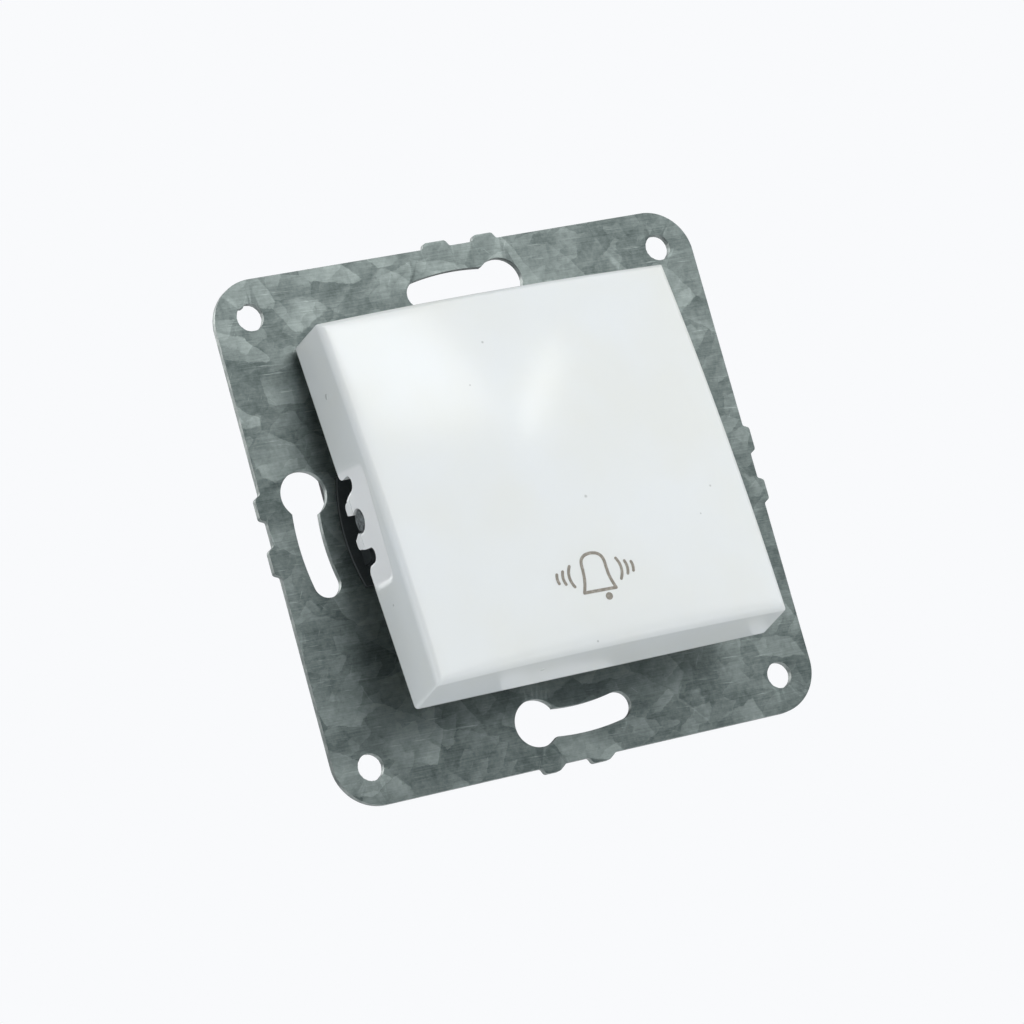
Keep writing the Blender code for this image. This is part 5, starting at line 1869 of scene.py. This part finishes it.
@dataclass(frozen=True)
class TerminalScrews:
    """Two slotted screws with a rolled thread, one in each terminal block."""

    tip: float = 14.1
    head_start: float = 16.7
    radius: float = 1.3
    head_radius: float = 2.0
    head_height: float = 1.6
    slot_width: float = 0.6
    slot_depth: float = 0.7
    pitch: float = 0.5
    thread_depth: float = 0.25
    axis_y: float = 1.2
    axis_z: float = -11.5
    roll: Flat = (0.3, 2.6)
    seed: int = 8

    def threaded(self, add: AddNode, sizes: Sockets) -> bpy.types.Node:
        """Makes the rod along z, from z = 0, with its thread.

        Args:
            add: Adds a node to the tree.
            sizes: The tree's input sockets.

        Returns:
            The node that gives the rod.
        """
        rod = add(
            "GeometryNodeMeshCylinder",
            {"Vertices": 40, "Side Segments": 50, "Radius": sizes["Radius"], "Depth": sizes["Length"]},
        )
        spot = add("GeometryNodeInputPosition")
        apart = add("ShaderNodeSeparateXYZ", {0: spot})
        around = add("ShaderNodeMath", {0: apart.outputs["Y"], 1: apart.outputs["X"]}, operation="ARCTAN2")
        around = add("ShaderNodeMath", {0: around, 1: 2 * math.pi}, operation="DIVIDE")
        climb = add("ShaderNodeMath", {0: apart.outputs["Z"], 1: sizes["Pitch"]}, operation="DIVIDE")
        phase = add("ShaderNodeMath", {0: climb, 1: around}, operation="SUBTRACT")
        groove = add("ShaderNodeMath", {0: phase, 1: 0.5}, operation="PINGPONG")
        narrow = add("ShaderNodeMath", {0: groove, 1: sizes["Thread Share"]}, operation="MULTIPLY")
        wide = add("ShaderNodeMath", {0: 1.0, 1: narrow}, operation="SUBTRACT")
        shape = add("ShaderNodeCombineXYZ", {"X": wide, "Y": wide, "Z": 1.0})
        cut = add("ShaderNodeVectorMath", {0: spot, 1: shape}, operation="MULTIPLY")
        thread = add("GeometryNodeSetPosition", {"Geometry": rod, "Position": cut})
        half = add("ShaderNodeMath", {0: sizes["Length"], 1: 0.5}, operation="MULTIPLY")
        lift = add("ShaderNodeCombineXYZ", {"Z": half})
        return add("GeometryNodeTransform", {"Geometry": thread, "Translation": lift})

    def slotted(self, add: AddNode, sizes: Sockets) -> bpy.types.Node:
        """Makes the slotted head on the end of the rod.

        Args:
            add: Adds a node to the tree.
            sizes: The tree's input sockets.

        Returns:
            The node that gives the head.
        """
        disc = add(
            "GeometryNodeMeshCylinder",
            {"Vertices": 48, "Radius": sizes["Head Radius"], "Depth": sizes["Head Height"]},
        )
        bar = add(
            "ShaderNodeCombineXYZ",
            {"X": sizes["Head Width"], "Y": sizes["Slot Width"], "Z": sizes["Slot Depth"]},
        )
        half = add("ShaderNodeMath", {0: sizes["Head Height"], 1: 0.5}, operation="MULTIPLY")
        face = add("ShaderNodeCombineXYZ", {"Z": half})
        block = add("GeometryNodeMeshCube", {"Size": bar})
        slot = add("GeometryNodeTransform", {"Geometry": block, "Translation": face})
        head = add("GeometryNodeMeshBoolean", {"Mesh 1": disc, "Mesh 2": slot}, operation="DIFFERENCE")
        above = add("ShaderNodeMath", {0: sizes["Length"], 1: half}, operation="ADD")
        lift = add("ShaderNodeCombineXYZ", {"Z": above})
        return add("GeometryNodeTransform", {"Geometry": head, "Translation": lift})

    def form(self, add: AddNode, sizes: Sockets) -> bpy.types.Node:
        """Makes one screw along z and sets it at both sides, heads outwards.

        Args:
            add: Adds a node to the tree.
            sizes: The tree's input sockets.

        Returns:
            The node that gives the screws.
        """
        parts = [self.threaded(add, sizes), self.slotted(add, sizes)]
        screw = add("GeometryNodeJoinGeometry", {"Geometry": parts})
        start = add("ShaderNodeCombineXYZ", {"X": sizes["Tip"], "Y": sizes["Axis Y"], "Z": sizes["Axis Z"]})
        across = add("ShaderNodeMath", {0: sizes["Tip"], 1: -2.0}, operation="MULTIPLY")
        across = add("ShaderNodeCombineXYZ", {"X": across})
        ends = add("GeometryNodeMeshLine", {"Count": 2, "Start Location": start, "Offset": across})
        index = add("GeometryNodeInputIndex")
        side = add("ShaderNodeMath", {0: index, 1: -math.pi, 2: math.pi / 2}, operation="MULTIPLY_ADD")
        facing = add("FunctionNodeEulerToRotation", {0: add("ShaderNodeCombineXYZ", {"Y": side})})
        least, most = self.roll
        roll = add(
            "FunctionNodeRandomValue",
            {"Min": (0.0, 0.0, least), "Max": (0.0, 0.0, most), "Seed": sizes["Seed"]},
            data_type="FLOAT_VECTOR",
        )
        roll = add("FunctionNodeEulerToRotation", {0: roll})
        both = {"Rotation": facing, "Rotate By": roll}
        turn = add("FunctionNodeRotateRotation", both, rotation_space="LOCAL")
        return add("GeometryNodeInstanceOnPoints", {"Points": ends, "Instance": screw, "Rotation": turn})

    def build(self) -> bpy.types.Object:
        """Builds and dresses the screws.

        Returns:
            The screws as one piece.
        """
        sizes = {
            "Tip": self.tip,
            "Length": self.head_start - self.tip,
            "Radius": self.radius,
            "Pitch": self.pitch,
            "Thread Share": 2 * self.thread_depth / self.radius,
            "Head Radius": self.head_radius,
            "Head Height": self.head_height,
            "Head Width": 4 * self.head_radius,
            "Slot Width": self.slot_width,
            "Slot Depth": 2 * self.slot_depth,
            "Axis Y": self.axis_y,
            "Axis Z": self.axis_z,
            "Seed": self.seed,
        }
        item = grow("slotted_screws", sizes, self.form, ZINC)
        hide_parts("terminal_screw_left", "terminal_screw_right")
        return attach(item, Body.FIXED.value)


@dataclass
class Springs:
    """The small spring under the bridge and the return spring that the plunger presses together."""

    bridge: Coil = Coil("bridge_coil", "bridge_spring", Body.PLUNGER, 1.5, 0.4, 4, -9.2, -5.0)
    back: Coil = Coil("return_coil", "return_spring", Body.FIXED, 2.2, 0.5, 5, -18.3, -12.2)
    travel: float = 1.54

    def build(self) -> list[bpy.types.Object]:
        """Builds both; the return spring gets a mesh of its own.

        Returns:
            The small spring and the return spring.
        """
        coil = self.back.build()
        tuple(stand(0, self.back.axis_y, self.back.back))
        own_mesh(coil)
        return [self.bridge.build(), coil]


# Stage


@dataclass(frozen=True)
class Lamp:
    """A rectangular lamp aimed at the object, turned about its own axis by a roll in degrees."""

    name: str
    place: Point
    size: Flat
    power: float
    roll: float = 0.0
    colour: Point = (1.0, 1.0, 1.0)

    def build(self) -> None:
        """Adds the lamp; the camera doesn't see it."""
        data = bpy.data.lights.new(self.name, "AREA")
        data.shape = "RECTANGLE"
        data.size, data.size_y = self.size
        data.energy = self.power
        data.color = self.colour
        item = bpy.data.objects.new(self.name, data)
        item.location = self.place
        aim = (-Vector(self.place)).to_track_quat("-Z", "Y")
        item.rotation_euler = (aim @ Quaternion((0.0, 0.0, 1.0), math.radians(self.roll))).to_euler()
        item.visible_camera = False
        bpy.context.scene.collection.objects.link(item)


@dataclass
class Studio:
    """Camera at the photograph's angle, soft lamps, white surround and a pale floor."""

    camera_place: Point = (-0.23388603, -0.48673583, -0.08403211)
    camera_turn: Point = (99.03053879, 15.26294052, -23.17238572)
    lens: float = 145.1680455
    sensor: float = 36.0
    nearest: float = 0.01
    surround: str = "#f9fafc"
    fill: str = "#dfe6ea"
    fill_strength: float = 0.41
    floor_colour: str = "#f4f5f6"
    floor_size: float = 3.0
    floor_height: float = -0.3
    floor_glow: float = 0.75
    floor_reach: Flat = (0.15, 1.1)
    lamps: tuple[Lamp, ...] = (
        Lamp("key softbox", (0.762, -1.086, 0.894), (1.9, 1.5), 15.5, colour=(1.0, 0.995, 0.98)),
        Lamp("left fill", (-1.35, -0.35, 0.0), (0.8, 0.8), 3.6, colour=(0.96, 0.99, 1.0)),
        Lamp("streak strip", (0.874, -1.514, 0.97), (0.30, 0.03), 0.34, 38.6),
        Lamp("corner softbox", (0.51, -1.58, 1.114), (0.4, 0.4), 1.7),
        Lamp("rear softbox", (-0.5, 0.9, 0.6), (0.8, 0.8), 4.5),
    )

    def world(self) -> None:
        """White for the camera and through glass; a softer fill for everything else."""
        world = bpy.data.worlds.new("surround")
        bpy.context.scene.world = world
        world.use_nodes = True
        world.node_tree.nodes.clear()
        add = partial(add_node, world.node_tree)
        path = add("ShaderNodeLightPath").outputs
        straight = {0: path["Is Camera Ray"], 1: path["Is Transmission Ray"]}
        seen = add("ShaderNodeMath", straight, operation="MAXIMUM")
        plain = add("ShaderNodeBackground", {"Color": linear(self.fill), "Strength": self.fill_strength})
        white = add("ShaderNodeBackground", {"Color": linear(self.surround)})
        both = add("ShaderNodeMixShader", {0: seen, 1: plain, 2: white})
        add("ShaderNodeOutputWorld", {"Surface": both})

    def floor(self) -> None:
        """A pale matt floor well below the object, which glows a little to the camera to look white."""
        data = bmesh.new()
        bmesh.ops.create_grid(data, x_segments=1, y_segments=1, size=self.floor_size)
        bmesh.ops.translate(data, verts=data.verts, vec=(0.0, 0.0, self.floor_height))
        item = from_bmesh("studio_floor", data, outward=False)
        paint = bpy.data.materials.new("pale matt floor")
        paint.use_nodes = True
        add = partial(add_node, paint.node_tree)
        shader = paint.node_tree.nodes["Principled BSDF"]
        inputs = {"Base Color": linear(self.floor_colour), "Roughness": 0.9, "Specular IOR Level": 0.1}
        feed(paint.node_tree, shader, inputs)
        seen = add("ShaderNodeLightPath").outputs["Is Camera Ray"]
        place = add("ShaderNodeTexCoord").outputs["Object"]
        away = add("ShaderNodeVectorMath", {0: place}, operation="LENGTH").outputs["Value"]
        near, far = [math.hypot(reach, self.floor_height) for reach in self.floor_reach]
        span = {"From Min": near, "From Max": far, "To Min": self.floor_glow}
        fade = add("ShaderNodeMapRange", {"Value": away, **span})
        share = add("ShaderNodeMath", {0: seen, 1: fade}, operation="MULTIPLY")
        glow = add("ShaderNodeEmission", {"Color": linear(self.surround)})
        both = add("ShaderNodeMixShader", {0: share, 1: shader, 2: glow})
        feed(paint.node_tree, paint.node_tree.nodes["Material Output"], {"Surface": both})
        item.data.materials.append(paint)

    def camera(self) -> None:
        """The camera where the photograph was taken from."""
        data = bpy.data.cameras.new("photograph's camera")
        data.lens = self.lens
        data.sensor_width = self.sensor
        data.clip_start = self.nearest
        item = bpy.data.objects.new("photograph's camera", data)
        item.location = self.camera_place
        item.rotation_euler = Euler([math.radians(a) for a in self.camera_turn])
        bpy.context.scene.collection.objects.link(item)
        bpy.context.scene.camera = item

    def build(self) -> None:
        """Builds the whole stage."""
        bpy.context.scene.view_settings.view_transform = "Standard"
        self.world()
        self.floor()
        for lamp in self.lamps:
            lamp.build()
        self.camera()


def main() -> None:
    """Builds every piece in order, then the stage."""
    logging.basicConfig(level=logging.INFO, format="%(name)s: %(message)s", stream=sys.stdout)
    for item in [o for o in bpy.data.objects if o.name in ("Cube", "Light", "Camera")]:
        bpy.data.objects.remove(item, do_unlink=True)
    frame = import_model()
    cover = PushCover()
    pieces = [SupportPlate().build(), cover.build(), BellSign().build(cover)]
    pieces += [part.build(frame["nodes"]) for part in FINE_PARTS]
    pieces += [Rivets().build(), TerminalScrews().build(), *Springs().build()]
    for item in pieces:
        LOG.info("%s: %d faces", item.name, len(item.data.polygons))
    Studio().build()


if __name__ == "__main__":
    main()
